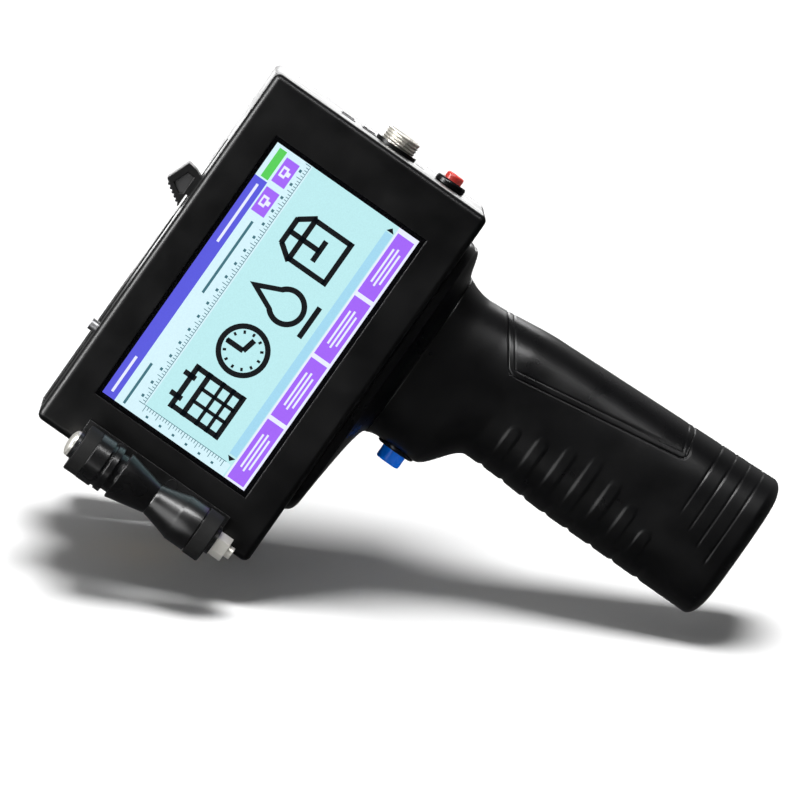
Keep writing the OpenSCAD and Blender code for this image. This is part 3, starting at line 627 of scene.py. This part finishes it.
def build_grip():
    """The two halves of the grip and its back cover, cut from one mirrored grid of points."""
    points, first, last, cover_columns = grip_grid()
    relief = grip_relief(points[..., 0], points[..., 2])
    relief[0] = 0
    points = stand_out(points, relief)
    points[:, [0, -1], 1] = 0
    points[..., 0] = flat_seat(points)
    points = with_underside(points)
    far = points * np.array([1, -1, 1])

    def in_cover(row, columns_from_back):
        return first <= row - len(UNDERSIDE_ROWS) < last and columns_from_back < cover_columns

    for name, side in (("grip_shell_near", points), ("grip_shell_far", far)):
        verts, faces = part_of_grid(side, lambda row, column: not in_cover(row, column))
        if side is points:
            faces = [f[::-1] for f in faces]
        shell_piece(name + "_skin", verts, faces, "grip", (name,))
    whole = np.concatenate([points[:, ::-1], far[:, 1:]], axis=1)
    middle = points.shape[1] - 1
    verts, faces = part_of_grid(whole, lambda row, column: in_cover(row, abs(column + 0.5 - middle)))
    shell_piece("grip_cover_skin", verts, faces, "grip_cover", ("grip_back_cover",))


# ---- the collar

def collar_levels():
    """The collar's height, front, back and half width: a flare from the neck, then the plate's edge."""
    neck_front, neck_back, neck_half = -36.6, 22.0, 20.4
    plate_front, plate_back, plate_half = -66.3, 30.3, 29
    bottom = GRIP_H - 0.1
    edge_h = 3.0
    plate_z = box_mm("neck_collar")[1].z - edge_h
    levels = []
    for step in np.linspace(0, 1, 22)[:-1]:
        rise = 1 - (1 - step) ** 1.4
        levels.append((bottom + (plate_z - bottom) * rise,
                       neck_front + (plate_front - neck_front) * rise ** 2.1,
                       neck_back + (plate_back - neck_back) * smoothstep(0, 0.8, rise),
                       neck_half + (plate_half - neck_half) * rise ** 1.5))
    for angle in np.radians(np.linspace(0, 90, 8)):
        out = math.sin(angle)
        levels.append((plate_z + edge_h * (1 - math.cos(angle)), plate_front - 3.7 * out,
                       plate_back + 0.6 * out, plate_half + out))
    return levels


def build_collar():
    """One smooth flare from the grip's top to the plate under the box, squarer the higher it gets."""
    sides = 160
    verts = []
    levels = collar_levels()
    for z, front, back, half in levels:
        rise = (z - levels[0][0]) / (levels[-1][0] - levels[0][0])
        power = 2 / (SQUARENESS + 6 * rise)
        for k in range(sides):
            angle = 2 * math.pi * k / sides
            c, s = math.cos(angle), math.sin(angle)
            verts.append(((front + back) / 2 + math.copysign((back - front) / 2 * abs(c) ** power, c),
                          math.copysign(half * abs(s) ** power, s), z))
    faces = closed_tube_faces(len(levels), sides)
    obj = piece("collar_flare", verts, faces, "collar", BODY, ("neck_collar",))
    tidy_mesh(obj)
    shade_piece(obj)


# ---- buttons and connector

def arc(centre_r, centre_h, radius, start, end):
    """Section points round a bend, from start to end in degrees."""
    return [(centre_r + radius * math.cos(a), centre_h + radius * math.sin(a))
            for a in np.radians(np.linspace(start, end, 6))]


def end_of(node, out):
    """The middle of a node's end face that looks towards +X (out = 1) or -X (out = -1)."""
    low, high, centre = box_mm(node)
    return Vector((high.x if out > 0 else low.x, centre.y, centre.z))


def build_cap(switch, slot, out):
    """A push button's cap with a rounded rim and a slightly hollowed face, and the pin inside its spring."""
    node = switch + "_button_cap"
    low, high, _ = box_mm(node)
    radius = (high.z - low.z) / 2
    pin_r, pin_l, axis_r = radius * 0.3, 2, 0.001
    length = high.x - low.x - pin_l
    section = [(axis_r, -0.35), (radius * 0.5, -0.28), (radius * 0.74, -0.08)]
    section += arc(radius - 0.7, -0.7, 0.7, 85, 0)
    section += [(radius, -length), (pin_r, -length), (pin_r, -length - pin_l), (axis_r, -length - pin_l)]
    turned(node + "_skin", section, end_of(node, out), X_AXIS * out, slot, switch + "_button", (node,), 64)


def build_spring(switch):
    """The return spring behind a cap, a fixed coil at its rest length."""
    turns, sides = 3, 10
    node = switch + "_spring"
    low, high, centre = box_mm(node)
    outer_r = (high.z - low.z) / 2
    wire_r = outer_r / 9
    length = high.x - low.x
    rows = 24 * turns + 1
    verts = []
    for share in np.linspace(0, 1, rows):
        turn = 2 * math.pi * turns * share
        for tilt in np.linspace(0, 2 * math.pi, sides, endpoint=False):
            r = outer_r - wire_r + wire_r * math.cos(tilt)
            x = low.x + wire_r + (length - 2 * wire_r) * share + wire_r * math.sin(tilt)
            verts.append((x, centre.y + r * math.cos(turn), centre.z + r * math.sin(turn)))
    obj = piece(node + "_coil", verts, closed_tube_faces(rows, sides), "spring_steel", BODY, (node,))
    tidy_mesh(obj)
    shade_piece(obj)
    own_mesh(obj)


def build_switch_body(switch, out, rim_t, tube_r):
    """A black switch body: a domed rim with a step down to the cap."""
    node = switch + "_switch_body"
    low, high, _ = box_mm(node)
    cap_low, cap_high, _ = box_mm(switch + "_button_cap")
    rim_r, hole_r = (high.z - low.z) / 2, (cap_high.z - cap_low.z) / 2 + 0.1
    back_hole_r, back_l = 1.5, 5
    length = high.x - low.x
    section = [(hole_r, -length + back_l), (hole_r, -0.5), (hole_r + 0.35, -0.1)]
    section += arc(rim_r - 0.9, -0.9, 0.9, 80, 0)
    section += [(rim_r, -rim_t + 0.3), (rim_r - 0.3, -rim_t), (tube_r, -rim_t), (tube_r, -length),
                (back_hole_r, -length), (back_hole_r, -length + back_l), (hole_r, -length + back_l)]
    turned(node + "_skin", section, end_of(node, out), X_AXIS * out, "switch_body", BODY, (node,))


def build_switches():
    """The blue trigger on the grip's front, facing -X, and the red power button, facing +X."""
    build_cap("trigger", "blue_button", -1)
    build_cap("power", "red_button", 1)
    build_spring("trigger")
    build_spring("power")
    build_switch_body("trigger", -1, TRIGGER_RIM_T, 5)
    build_switch_body("power", 1, POWER_RIM_T, 4)


def build_connector():
    """The threaded socket: a helical thread outside, a smooth bore inside."""
    node = "connector_shell"
    low, high, _ = box_mm(node)
    nut_face = box_mm("connector_ring_nut")[1].x
    thread_r, neck_r, bore_r, pitch = 6.0, 5.6, 4.8, 1.0
    length = high.x - low.x
    thread_length = high.x - nut_face - 0.2
    section = [(bore_r, -length), (bore_r, -0.4), (bore_r + 0.35, 0), (thread_r - 0.75, 0)]
    section += [(thread_r, -h) for h in np.linspace(0.35, thread_length, 52)]
    section += [(neck_r, -thread_length), (neck_r, -length), (bore_r, -length)]

    def thread(angle, along, radius):
        if radius != thread_r:
            return radius
        phase = (along / pitch + angle / (2 * math.pi)) % 1
        depth = 0.42 * (1 - abs(2 * phase - 1)) ** 0.8
        fade = min(1, max(0.25, -along / 0.8))
        return thread_r - depth * fade

    turned(node + "_skin", section, end_of(node, 1), X_AXIS, "nickel", BODY, (node,), 120, thread)


# ---- guide rollers

BORE_R, BAND_SEAT_R, DRUM_R, WAIST_R = 2.06, 7.2, 7.9, 5.15
WAIST_DROP = 28.35


def build_rollers():
    """Both rollers: an upper drum with grooves that tapers to the waist and a bell-shaped lower drum."""
    for side in ("near", "far"):
        node = side + "_roller_drums"
        low, high, centre = box_mm(node)
        place = Vector((centre.x, centre.y, high.z))
        for name, drops in (("upper", upper_drum()), ("lower", lower_drum(high.z - low.z))):
            section = [(r, -drop) for r, drop in drops + drops[:1]]
            replaced = (node,) if name == "upper" else ()
            turned(f"{side}_roller_{name}_drum", section, place, Z_AXIS, "roller_plastic", side + "_roller",
                   replaced, 96)


def upper_drum():
    """Section of the upper drum, as radius and distance below its top: band seat, grooves and taper."""
    band_seat = [(BORE_R, 0), (BAND_SEAT_R, 0), (BAND_SEAT_R, 4.65), (DRUM_R, 4.65), (8.1, 4.85), (8.1, 9.6)]
    narrow_groove = [(7.95, 9.75), (7.45, 9.8), (7.35, 10.0), (7.35, 10.7), (7.6, 10.85)]
    wide_groove = [(DRUM_R, 11.0), (DRUM_R, 12.9), (7.75, 13.1), (6.7, 13.2), (6.6, 13.4), (6.6, 15.2)]
    shoulder = [(6.75, 15.35), (7.7, 15.45), (DRUM_R, 15.65), (DRUM_R, 16.1)]
    waist = [(WAIST_R + 0.2, WAIST_DROP - 0.3), (WAIST_R, WAIST_DROP), (BORE_R, WAIST_DROP)]
    return band_seat + narrow_groove + wide_groove + shoulder + waist


def lower_drum(end):
    """Section of the lower drum: a bell that widens from the waist, and a band seat down to the end."""
    waist = [(BORE_R, WAIST_DROP), (WAIST_R, WAIST_DROP), (WAIST_R + 0.2, WAIST_DROP + 0.3)]
    bell = [(WAIST_R + 0.2 + 2.3 * t ** 1.15, WAIST_DROP + 0.3 + 9 * t) for t in np.linspace(0.1, 1, 10)]
    rim = [(DRUM_R, 38.2), (DRUM_R, 44.6), (7.75, 44.75)]
    return waist + bell + rim + [(BAND_SEAT_R, 44.75), (BAND_SEAT_R, end), (BORE_R, end)]


# ---- cartridge latch

def latch_plate(name, outline, low, high, stands_for=(), rounding=0.1):
    """A plate with rounded edges and its outline in XZ, between y = low and y = high."""
    verts, faces = plate(outline, low, high)
    obj = piece(name, verts, faces, "latch", "latch", stands_for)
    tidy_mesh(obj)
    round_off(obj, rounding)
    return obj


def windowed_plate(name, outline, window, low, high):
    """The same with an opening in it."""
    work = bmesh.new()
    for y in (low, high):
        edges = []
        for loop in (outline, window):
            ring = [work.verts.new(Vector((x, y, z)) * MM) for x, z in loop]
            edges += [work.edges.new((ring[k - 1], ring[k])) for k in range(len(ring))]
        bmesh.ops.triangle_fill(work, edges=edges, use_beauty=True)
    work.verts.ensure_lookup_table()
    half = len(work.verts) // 2
    start = 0
    for loop in (outline, window):
        for k in range(len(loop)):
            a, b = start + k, start + (k + 1) % len(loop)
            work.faces.new([work.verts[i] for i in (a, b, b + half, a + half)])
        start += len(loop)
    bmesh.ops.recalc_face_normals(work, faces=work.faces)
    obj = piece(name, [], [], "latch", "latch")
    work.to_mesh(obj.data)
    work.free()
    round_off(obj, 0.18, 2)


def tab_outline(hub, top):
    """The latch tab in side view: a stepped thumb edge, a sloped top and a stem down to the hub."""
    teeth, step = 6, 0.45
    start, end = Vector((-12.2, top + 0.9)), Vector((-7.6, top + 8.2))
    along = end - start
    out = Vector((along.y, -along.x)).normalized() * step
    serration = []
    for k in range(teeth):
        for share, raised in ((0.0, 0), (0.45, 0), (0.55, 1), (0.95, 1)):
            serration.append(start + along * (k + share) / teeth + out * raised)
    corners = [Vector((-6.7, top + 8.65)), Vector((1.1, top + 5.7)), Vector((0.6, top + 2.4)),
               Vector((hub.x + 3.5, top)), Vector((hub.x + 3.5, hub.z)), Vector((hub.x - 3.5, hub.z)),
               Vector((hub.x - 3.6, top + 0.9))]
    return [(p.x, p.y) for p in serration + corners]


def build_latch():
    """The latch lever: a tab with a stepped thumb edge, grey pads let into its sides, a foot and a hub."""
    low, high, _ = box_mm("latch_lever")
    hub = box_mm("latch_pin")[2]
    top = box_mm("rear_housing")[1].z
    outline = tab_outline(hub, top)
    window = [(-6.6, top + 6.2), (-1.4, top + 4.3), (-1.8, top + 1.8), (-7.9, top + 1.8), (-8.6, top + 2.9)]
    pad = [(x + 0.1 * math.copysign(1, -4.8 - x), z) for x, z in window]
    rim, sunk, overlap = 1.0, 0.7, 0.2
    latch_plate("latch_core", outline, low.y + rim, high.y - rim, ("latch_lever",))
    for side, face, inwards in (("near", low.y, 1), ("far", high.y, -1)):
        rim_y = sorted([face, face + rim * inwards])
        pad_y = sorted([face + sunk * inwards, face + (rim + overlap) * inwards])
        windowed_plate(f"latch_{side}_side", outline, window, *rim_y)
        latch_plate(f"latch_{side}_pad", pad, *pad_y).data.materials[0] = FINISHES["latch_pad"]
    foot = [(low.x, hub.z), (low.x, hub.z + 3.6), (low.x + 2, hub.z + 4), (hub.x, hub.z + 4), (hub.x, hub.z)]
    latch_plate("latch_foot", foot, low.y, high.y, rounding=0.3)
    hole_r, hub_r, round_r, width = 1.55, 4.4, 0.3, high.y - low.y
    section = [(hole_r, 0), (hub_r - round_r, 0), (hub_r, round_r), (hub_r, width - round_r),
               (hub_r - round_r, width), (hole_r, width), (hole_r, 0)]
    turned("latch_hub", section, Vector((hub.x, low.y, hub.z)), Y_AXIS, "latch", "latch", (), 64)


# ---- display picture

PICTURE_W, PICTURE_H = 95.04, 53.86
UI = {
    "field": (0.50, 0.82, 0.85), "pale": (0.66, 0.88, 0.95), "bar": (0.10, 0.10, 0.72),
    "purple": (0.36, 0.13, 0.92), "ink": (0.003, 0.004, 0.006), "green": (0.10, 0.62, 0.10),
    "strip": (0.36, 0.68, 0.86), "light": (0.80, 0.84, 1.0), "tick": (0.05, 0.16, 0.20),
}


def around(centre, radius, angle):
    """The place in the picture that lies at a radius in millimetres and an angle from a centre."""
    return centre[0] + radius * math.cos(angle) / PICTURE_W, centre[1] + radius * math.sin(angle) / PICTURE_H


class Picture:
    """Collects flat patches of the display and turns them into one mesh for each colour and layer.

    A place in the picture is its shares of the width and, from the top down, of the height."""

    def __init__(self):
        centre = box_mm("lcd_module")[2]
        self.left = centre.x - PICTURE_W / 2
        self.top = centre.z + PICTURE_H / 2
        self.glass = box_mm("touch_panel")[0].y
        self.patches = {}

    def patch(self, colour, corners, layer):
        outline = [(self.left + u * PICTURE_W, self.top - v * PICTURE_H) for u, v in corners]
        self.patches.setdefault((colour, layer), []).append(outline)

    def rect(self, colour, u0, v0, u1, v1, layer=1):
        self.patch(colour, [(u0, v0), (u1, v0), (u1, v1), (u0, v1)], layer)

    def bar(self, colour, left, right, middle, height, layer=2):
        """A level bar, which stands for a word."""
        self.rect(colour, left, middle - height / 2, right, middle + height / 2, layer)

    def stroke(self, colour, start, end, width, layer=2):
        """A line between two places, with its width in millimetres."""
        size = np.array([PICTURE_W, PICTURE_H])
        a, b = np.array(start) * size, np.array(end) * size
        along = (b - a) / np.linalg.norm(b - a)
        side = np.array([-along[1], along[0]]) * width / 2
        self.patch(colour, [p / size for p in (a + side, b + side, b - side, a - side)], layer)

    def disc(self, colour, centre, radius, layer):
        angles = np.linspace(0, 2 * math.pi, 40, endpoint=False)
        self.patch(colour, [around(centre, radius, a) for a in angles], layer)

    def build(self):
        """Makes the patches thin plates, stacked by layer in front of the glass."""
        thickness, gap, step = 0.02, 0.01, 0.012
        for (colour, layer), outlines in self.patches.items():
            front = self.glass - gap - layer * step
            verts, faces = [], []
            for outline in outlines:
                more_verts, more_faces = plate(outline, front - thickness, front, len(verts))
                verts += more_verts
                faces += more_faces
            obj = piece(f"picture_{colour}_{layer}", verts, faces, "display")
            name = "lit_" + colour
            obj.data.materials[0] = bpy.data.materials.get(name) or lit(name, UI[colour])
            tidy_mesh(obj)


def draw_bars(picture):
    """The field, the title bar, the pale margins and the scroll strip with its two arrows."""
    picture.rect("field", 0, 0, 1, 1, 0)
    picture.rect("bar", 0, 0, 0.872, 0.085)
    picture.rect("pale", 0.872, 0, 1, 0.085)
    picture.rect("green", 0.878, 0.03, 0.99, 0.08, 2)
    picture.rect("pale", 0, 0.085, 1, 0.25)
    picture.rect("pale", 0, 0.25, 0.045, 0.85)
    picture.rect("strip", 0.075, 0.805, 0.965, 0.855)
    for tip, back in ((0.052, 0.068), (0.985, 0.969)):
        picture.patch("ink", [(tip, 0.83), (back, 0.805), (back, 0.855)], 3)


def ruler_marks(count, start, length, long, short):
    """The place and size of each mark on a ruler, and whether a number stands beside it."""
    step = length / (count - 1)
    return [(start + k * step, long if k % 5 == 0 else short, k % 5 == 2) for k in range(count)]


def draw_rulers(picture):
    """A ruler along the top of the field and one down its left; small bars stand for their numbers."""
    left, base = 0.045, 0.238
    for u, size, numbered in ruler_marks(91, left, 0.95, 0.034, 0.018):
        picture.rect("tick", u - 0.0012, base - size, u + 0.0012, base, 2)
        if numbered:
            picture.rect("tick", u - 0.004, 0.196, u + 0.006, 0.212, 2)
    for v, size, numbered in ruler_marks(31, 0.255, 0.55, 0.022, 0.012):
        picture.rect("tick", left - size, v - 0.002, left, v + 0.002, 2)
        if numbered:
            picture.rect("tick", 0.012, v - 0.004, 0.02, v + 0.012, 2)
    picture.rect("tick", left, base, 0.995, base + 0.003, 2)
    picture.rect("tick", left - 0.0005, base + 0.003, left + 0.0015, 0.82, 2)


def draw_buttons(picture):
    """Four wide buttons at the foot, two small ones at the top, and bars where there are words."""
    width, gap, count = 0.232, 0.0155, 4
    picture.rect("light", 0, 0.86, 1, 1, 1)
    for k in range(count):
        left = 0.008 + k * (width + gap)
        middle = left + width / 2
        picture.rect("purple", left, 0.872, left + width, 0.985, 2)
        for row, share in ((0.905, 0.56), (0.93, 0.62), (0.955, 0.5)):
            half = width * share / 2
            picture.bar("light", middle - half, middle + half, row, 0.012, 3)
    for left in (0.77, 0.885):
        picture.rect("purple", left, 0.095, left + 0.092, 0.185, 2)
        picture.rect("light", left + 0.027, 0.11, left + 0.065, 0.15, 3)
        picture.rect("purple", left + 0.036, 0.12, left + 0.056, 0.14, 4)
        picture.rect("light", left + 0.038, 0.15, left + 0.054, 0.17, 3)
    for colour, left, right, row in (("light", 0.02, 0.16, 0.045), ("light", 0.62, 0.85, 0.045),
                                     ("tick", 0.01, 0.17, 0.14), ("tick", 0.455, 0.74, 0.145)):
        picture.bar(colour, left, right, row, 0.016)


STROKE_W, THIN_W = 1.75, 1.2
ICON_TOP, ICON_MIDDLE, ICON_BOTTOM = 0.37, 0.53, 0.69


def ink_line(picture, u0, v0, u1, v1, width=STROKE_W):
    picture.stroke("ink", (u0, v0), (u1, v1), width)


def draw_calendar(picture):
    """A page with a heading, ruled squares and two binding rings."""
    left, right, heading = 0.085, 0.255, ICON_TOP + 0.085
    for v in (ICON_TOP, ICON_BOTTOM, heading):
        ink_line(picture, left, v, right, v)
    for u in (left + 0.01, right - 0.01):
        ink_line(picture, u, ICON_TOP, u, ICON_BOTTOM)
    for u in (left + 0.062, left + 0.11):
        ink_line(picture, u, heading, u, ICON_BOTTOM, THIN_W)
    for v in (ICON_MIDDLE + 0.02, ICON_MIDDLE + 0.09):
        ink_line(picture, left, v, right, v, THIN_W)
    for u in (left + 0.045, right - 0.045):
        ink_line(picture, u, ICON_TOP - 0.05, u, ICON_TOP + 0.03)


def draw_clock(picture):
    """A ring with two hands and twelve hour marks."""
    centre, radius, mark_start, mark_end = (0.375, ICON_MIDDLE), 8.6, 5.3, 6.4
    picture.disc("ink", centre, radius, 2)
    picture.disc("field", centre, radius - STROKE_W, 3)
    picture.stroke("ink", centre, (centre[0], centre[1] - 0.115), STROKE_W, 4)
    picture.stroke("ink", centre, (centre[0] + 0.048, centre[1] + 0.02), STROKE_W, 4)
    for angle in np.radians(np.arange(0, 360, 30)):
        picture.stroke("ink", around(centre, mark_start, angle), around(centre, mark_end, angle), 0.8, 4)


def draw_drop(picture):
    """An outlined ink drop above a line."""
    centre, radius, tip = (0.575, 0.59), 6.4, 14.0
    for scale, colour, layer in ((1.0, "ink", 2), (0.72, "field", 3)):
        drop = [around(centre, radius * scale, a) for a in np.radians(np.linspace(-50, 230, 40))]
        drop.append((centre[0], centre[1] - tip * scale / PICTURE_H))
        picture.patch(colour, drop, layer)
    ink_line(picture, 0.515, 0.75, 0.635, 0.75)


def draw_carton(picture):
    """A carton with a receding lid and a strip of tape that ends in a cross bar."""
    left, right, front, back, tape = 0.70, 0.87, ICON_TOP + 0.07, ICON_TOP - 0.02, 0.785
    for v in (front, ICON_BOTTOM):
        ink_line(picture, left, v, right, v)
    for u in (left + 0.009, right - 0.009):
        ink_line(picture, u, front, u, ICON_BOTTOM)
    ink_line(picture, left + 0.035, back, right - 0.035, back)
    ink_line(picture, left, front + 0.005, left + 0.04, back)
    ink_line(picture, right, front + 0.005, right - 0.04, back)
    ink_line(picture, tape, back, tape, ICON_MIDDLE + 0.03)
    ink_line(picture, tape - 0.04, ICON_MIDDLE + 0.03, tape + 0.04, ICON_MIDDLE + 0.03)


def build_picture():
    """The lit picture: bars and rulers of an editor, with pictograms where a print layout would stand."""
    picture = Picture()
    for draw in (draw_bars, draw_rulers, draw_buttons, draw_calendar, draw_clock, draw_drop, draw_carton):
        draw(picture)
    picture.build()


# ---- floor, lights and camera

ROLL = math.radians(54.9)
IMAGE_RIGHT = Vector((math.cos(ROLL), 0, -math.sin(ROLL)))
IMAGE_UP = Vector((math.sin(ROLL), 0, math.cos(ROLL)))
AIM = Vector((-21.4, -16, 115.4)) * MM
DISTANCE = 4.0
VIEW_WIDTH = 0.250
CAMERA_AZIMUTH, CAMERA_ELEVATION = 3.0, 2.6


def camera_back():
    """The direction from the printer to the camera."""
    a, e = math.radians(CAMERA_AZIMUTH), math.radians(CAMERA_ELEVATION)
    return Vector((math.sin(a) * math.cos(e), -math.cos(a) * math.cos(e), math.sin(e)))


def look_at(place, back, up):
    """A matrix for a camera or light at place that looks along -back, with its top nearest to up."""
    z = back.normalized()
    x = up.cross(z).normalized()
    y = z.cross(x)
    matrix = Matrix((x, y, z)).transposed().to_4x4()
    matrix.translation = place
    return matrix


def build_camera():
    """A far camera with a narrow view, because the photograph has almost no perspective."""
    data = bpy.data.cameras.new("camera")
    data.lens = data.sensor_width * DISTANCE / VIEW_WIDTH
    data.clip_start, data.clip_end = 0.05, 20
    camera = add("camera", data)
    camera.matrix_world = look_at(AIM + camera_back() * DISTANCE, camera_back(), IMAGE_UP)
    bpy.context.scene.camera = camera


def build_floor():
    """A pale floor under the printer as it lies in view, seen only from above."""
    tilt, drop, size = math.radians(14), 0.006, 4
    upright = Vector((0.885, 0, 0.466)).normalized()
    normal = upright * math.cos(tilt) - Y_AXIS * math.sin(tilt)
    side = normal.cross(Y_AXIS).normalized()
    depth = normal.cross(side)
    place = Vector((-25, 0, 3)) * MM - normal * drop
    mesh = bpy.data.meshes.new("floor")
    corners = [place + (side * a + depth * b) * size for a, b in ((-1, -1), (1, -1), (1, 1), (-1, 1))]
    mesh.from_pydata(corners, [], [(0, 1, 2, 3)])
    if mesh.polygons[0].normal.dot(normal) < 0:
        mesh.flip_normals()
    mesh.materials.append(floor_finish())
    floor = add("floor", mesh)
    floor.visible_glossy = False


def floor_finish():
    """White paper that can't be seen from below."""
    made = Finish("floor_paper", (0.93, 0.93, 0.93), 0.9)
    below = made.node("ShaderNodeNewGeometry").outputs["Backfacing"]
    clear = made.node("ShaderNodeBsdfTransparent").outputs["BSDF"]
    chooser = made.node("ShaderNodeMixShader", below, made.bsdf.outputs["BSDF"], clear)
    made.link(chooser.outputs["Shader"], made.out.inputs["Surface"])
    return made.material


def build_world():
    """White behind the printer for the camera; everything else sees light above and a dark room in front."""
    world = bpy.data.worlds.new("studio")
    bpy.context.scene.world = world
    world.use_nodes = True
    made = Nodes(world.node_tree)
    direction = made.node("ShaderNodeTexCoord").outputs["Generated"]
    from_above = made.spread(made.facing(direction, IMAGE_UP), -0.3, 0.9, 0.06, 0.3)
    room = made.spread(made.facing(direction, camera_back()), -0.6, 0.2, 1.0, 0.12)
    chooser = made.node("ShaderNodeMix", made.node("ShaderNodeLightPath").outputs["Is Camera Ray"])
    made.link(made.product(from_above, room), chooser.inputs[2])
    chooser.inputs[3].default_value = 1.0
    background = world.node_tree.nodes["Background"]
    made.link(chooser.outputs[0], background.inputs["Strength"])
    background.inputs["Color"].default_value = (1, 1, 1, 1)


def floor_sun():
    """A wide, soft sun that whitens the floor and casts the shadow, but leaves no highlight of its own."""
    data = bpy.data.lights.new("floor_sun", "SUN")
    data.energy = 3.6
    data.angle = math.radians(27)
    sun = add("floor_sun", data)
    sun.visible_glossy = False
    back = (IMAGE_RIGHT * 0.1 + IMAGE_UP + camera_back() * 0.2).normalized()
    sun.matrix_world = look_at(AIM + back, back, IMAGE_RIGHT)


def area_light(name, width, height, watts, matrix):
    """A rectangular light with the given place and direction."""
    data = bpy.data.lights.new(name, "AREA")
    data.shape = "RECTANGLE"
    data.size, data.size_y = width, height
    data.energy = watts
    light = add(name, data)
    light.matrix_world = matrix
    return light


def softbox(name, direction, distance, width, height, watts):
    """A light aimed at the printer from a direction in the picture: right, up and towards the camera."""
    right, up, near = direction
    back = (IMAGE_RIGHT * right + IMAGE_UP * up + camera_back() * near).normalized()
    matrix = look_at(AIM + back * distance, back, IMAGE_UP + Vector((0.01, 0.02, 0)))
    return area_light(name, width, height, watts, matrix)


def grazing_card(name, low, high, watts):
    """A card of light behind the printer, out of the camera's sight, that whitens faces seen almost edge-on.

    low and high are the card's corners in X and Z."""
    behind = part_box("rear_housing")[1].y + 0.35
    place = Vector(((low[0] + high[0]) / 2, behind, (low[1] + high[1]) / 2))
    card = area_light(name, high[0] - low[0], high[1] - low[1], watts, look_at(place, Y_AXIS, Z_AXIS))
    card.visible_camera = False
    card.visible_diffuse = False


def build_lights():
    """A sun, cards beside and above the box, strips over its top and left, and a weak fill in front."""
    floor_sun()
    low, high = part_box("rear_housing")
    grazing_card("side_card", (high.x + 0.015, low.z - 0.024), (high.x + 0.415, high.z + 0.1), 0.75)
    grazing_card("top_card", (low.x + 0.03, high.z + 0.004), (high.x, high.z + 0.1), 0.1)
    softbox("top_box", (0.0, 0.77, 0.64), 1.0, 0.9, 0.12, 13).visible_diffuse = False
    softbox("left_box", (-0.74, 0.52, 0.42), 0.9, 0.3, 0.9, 20).visible_diffuse = False
    softbox("front_fill", (-0.6, -0.15, 0.8), 1.0, 0.6, 0.6, 4)
    bpy.context.scene.view_settings.view_transform = "Standard"


dress_cad_nodes()
build_grip()
build_collar()
build_switches()
build_connector()
build_rollers()
build_latch()
build_picture()
build_floor()
build_world()
build_lights()
build_camera()
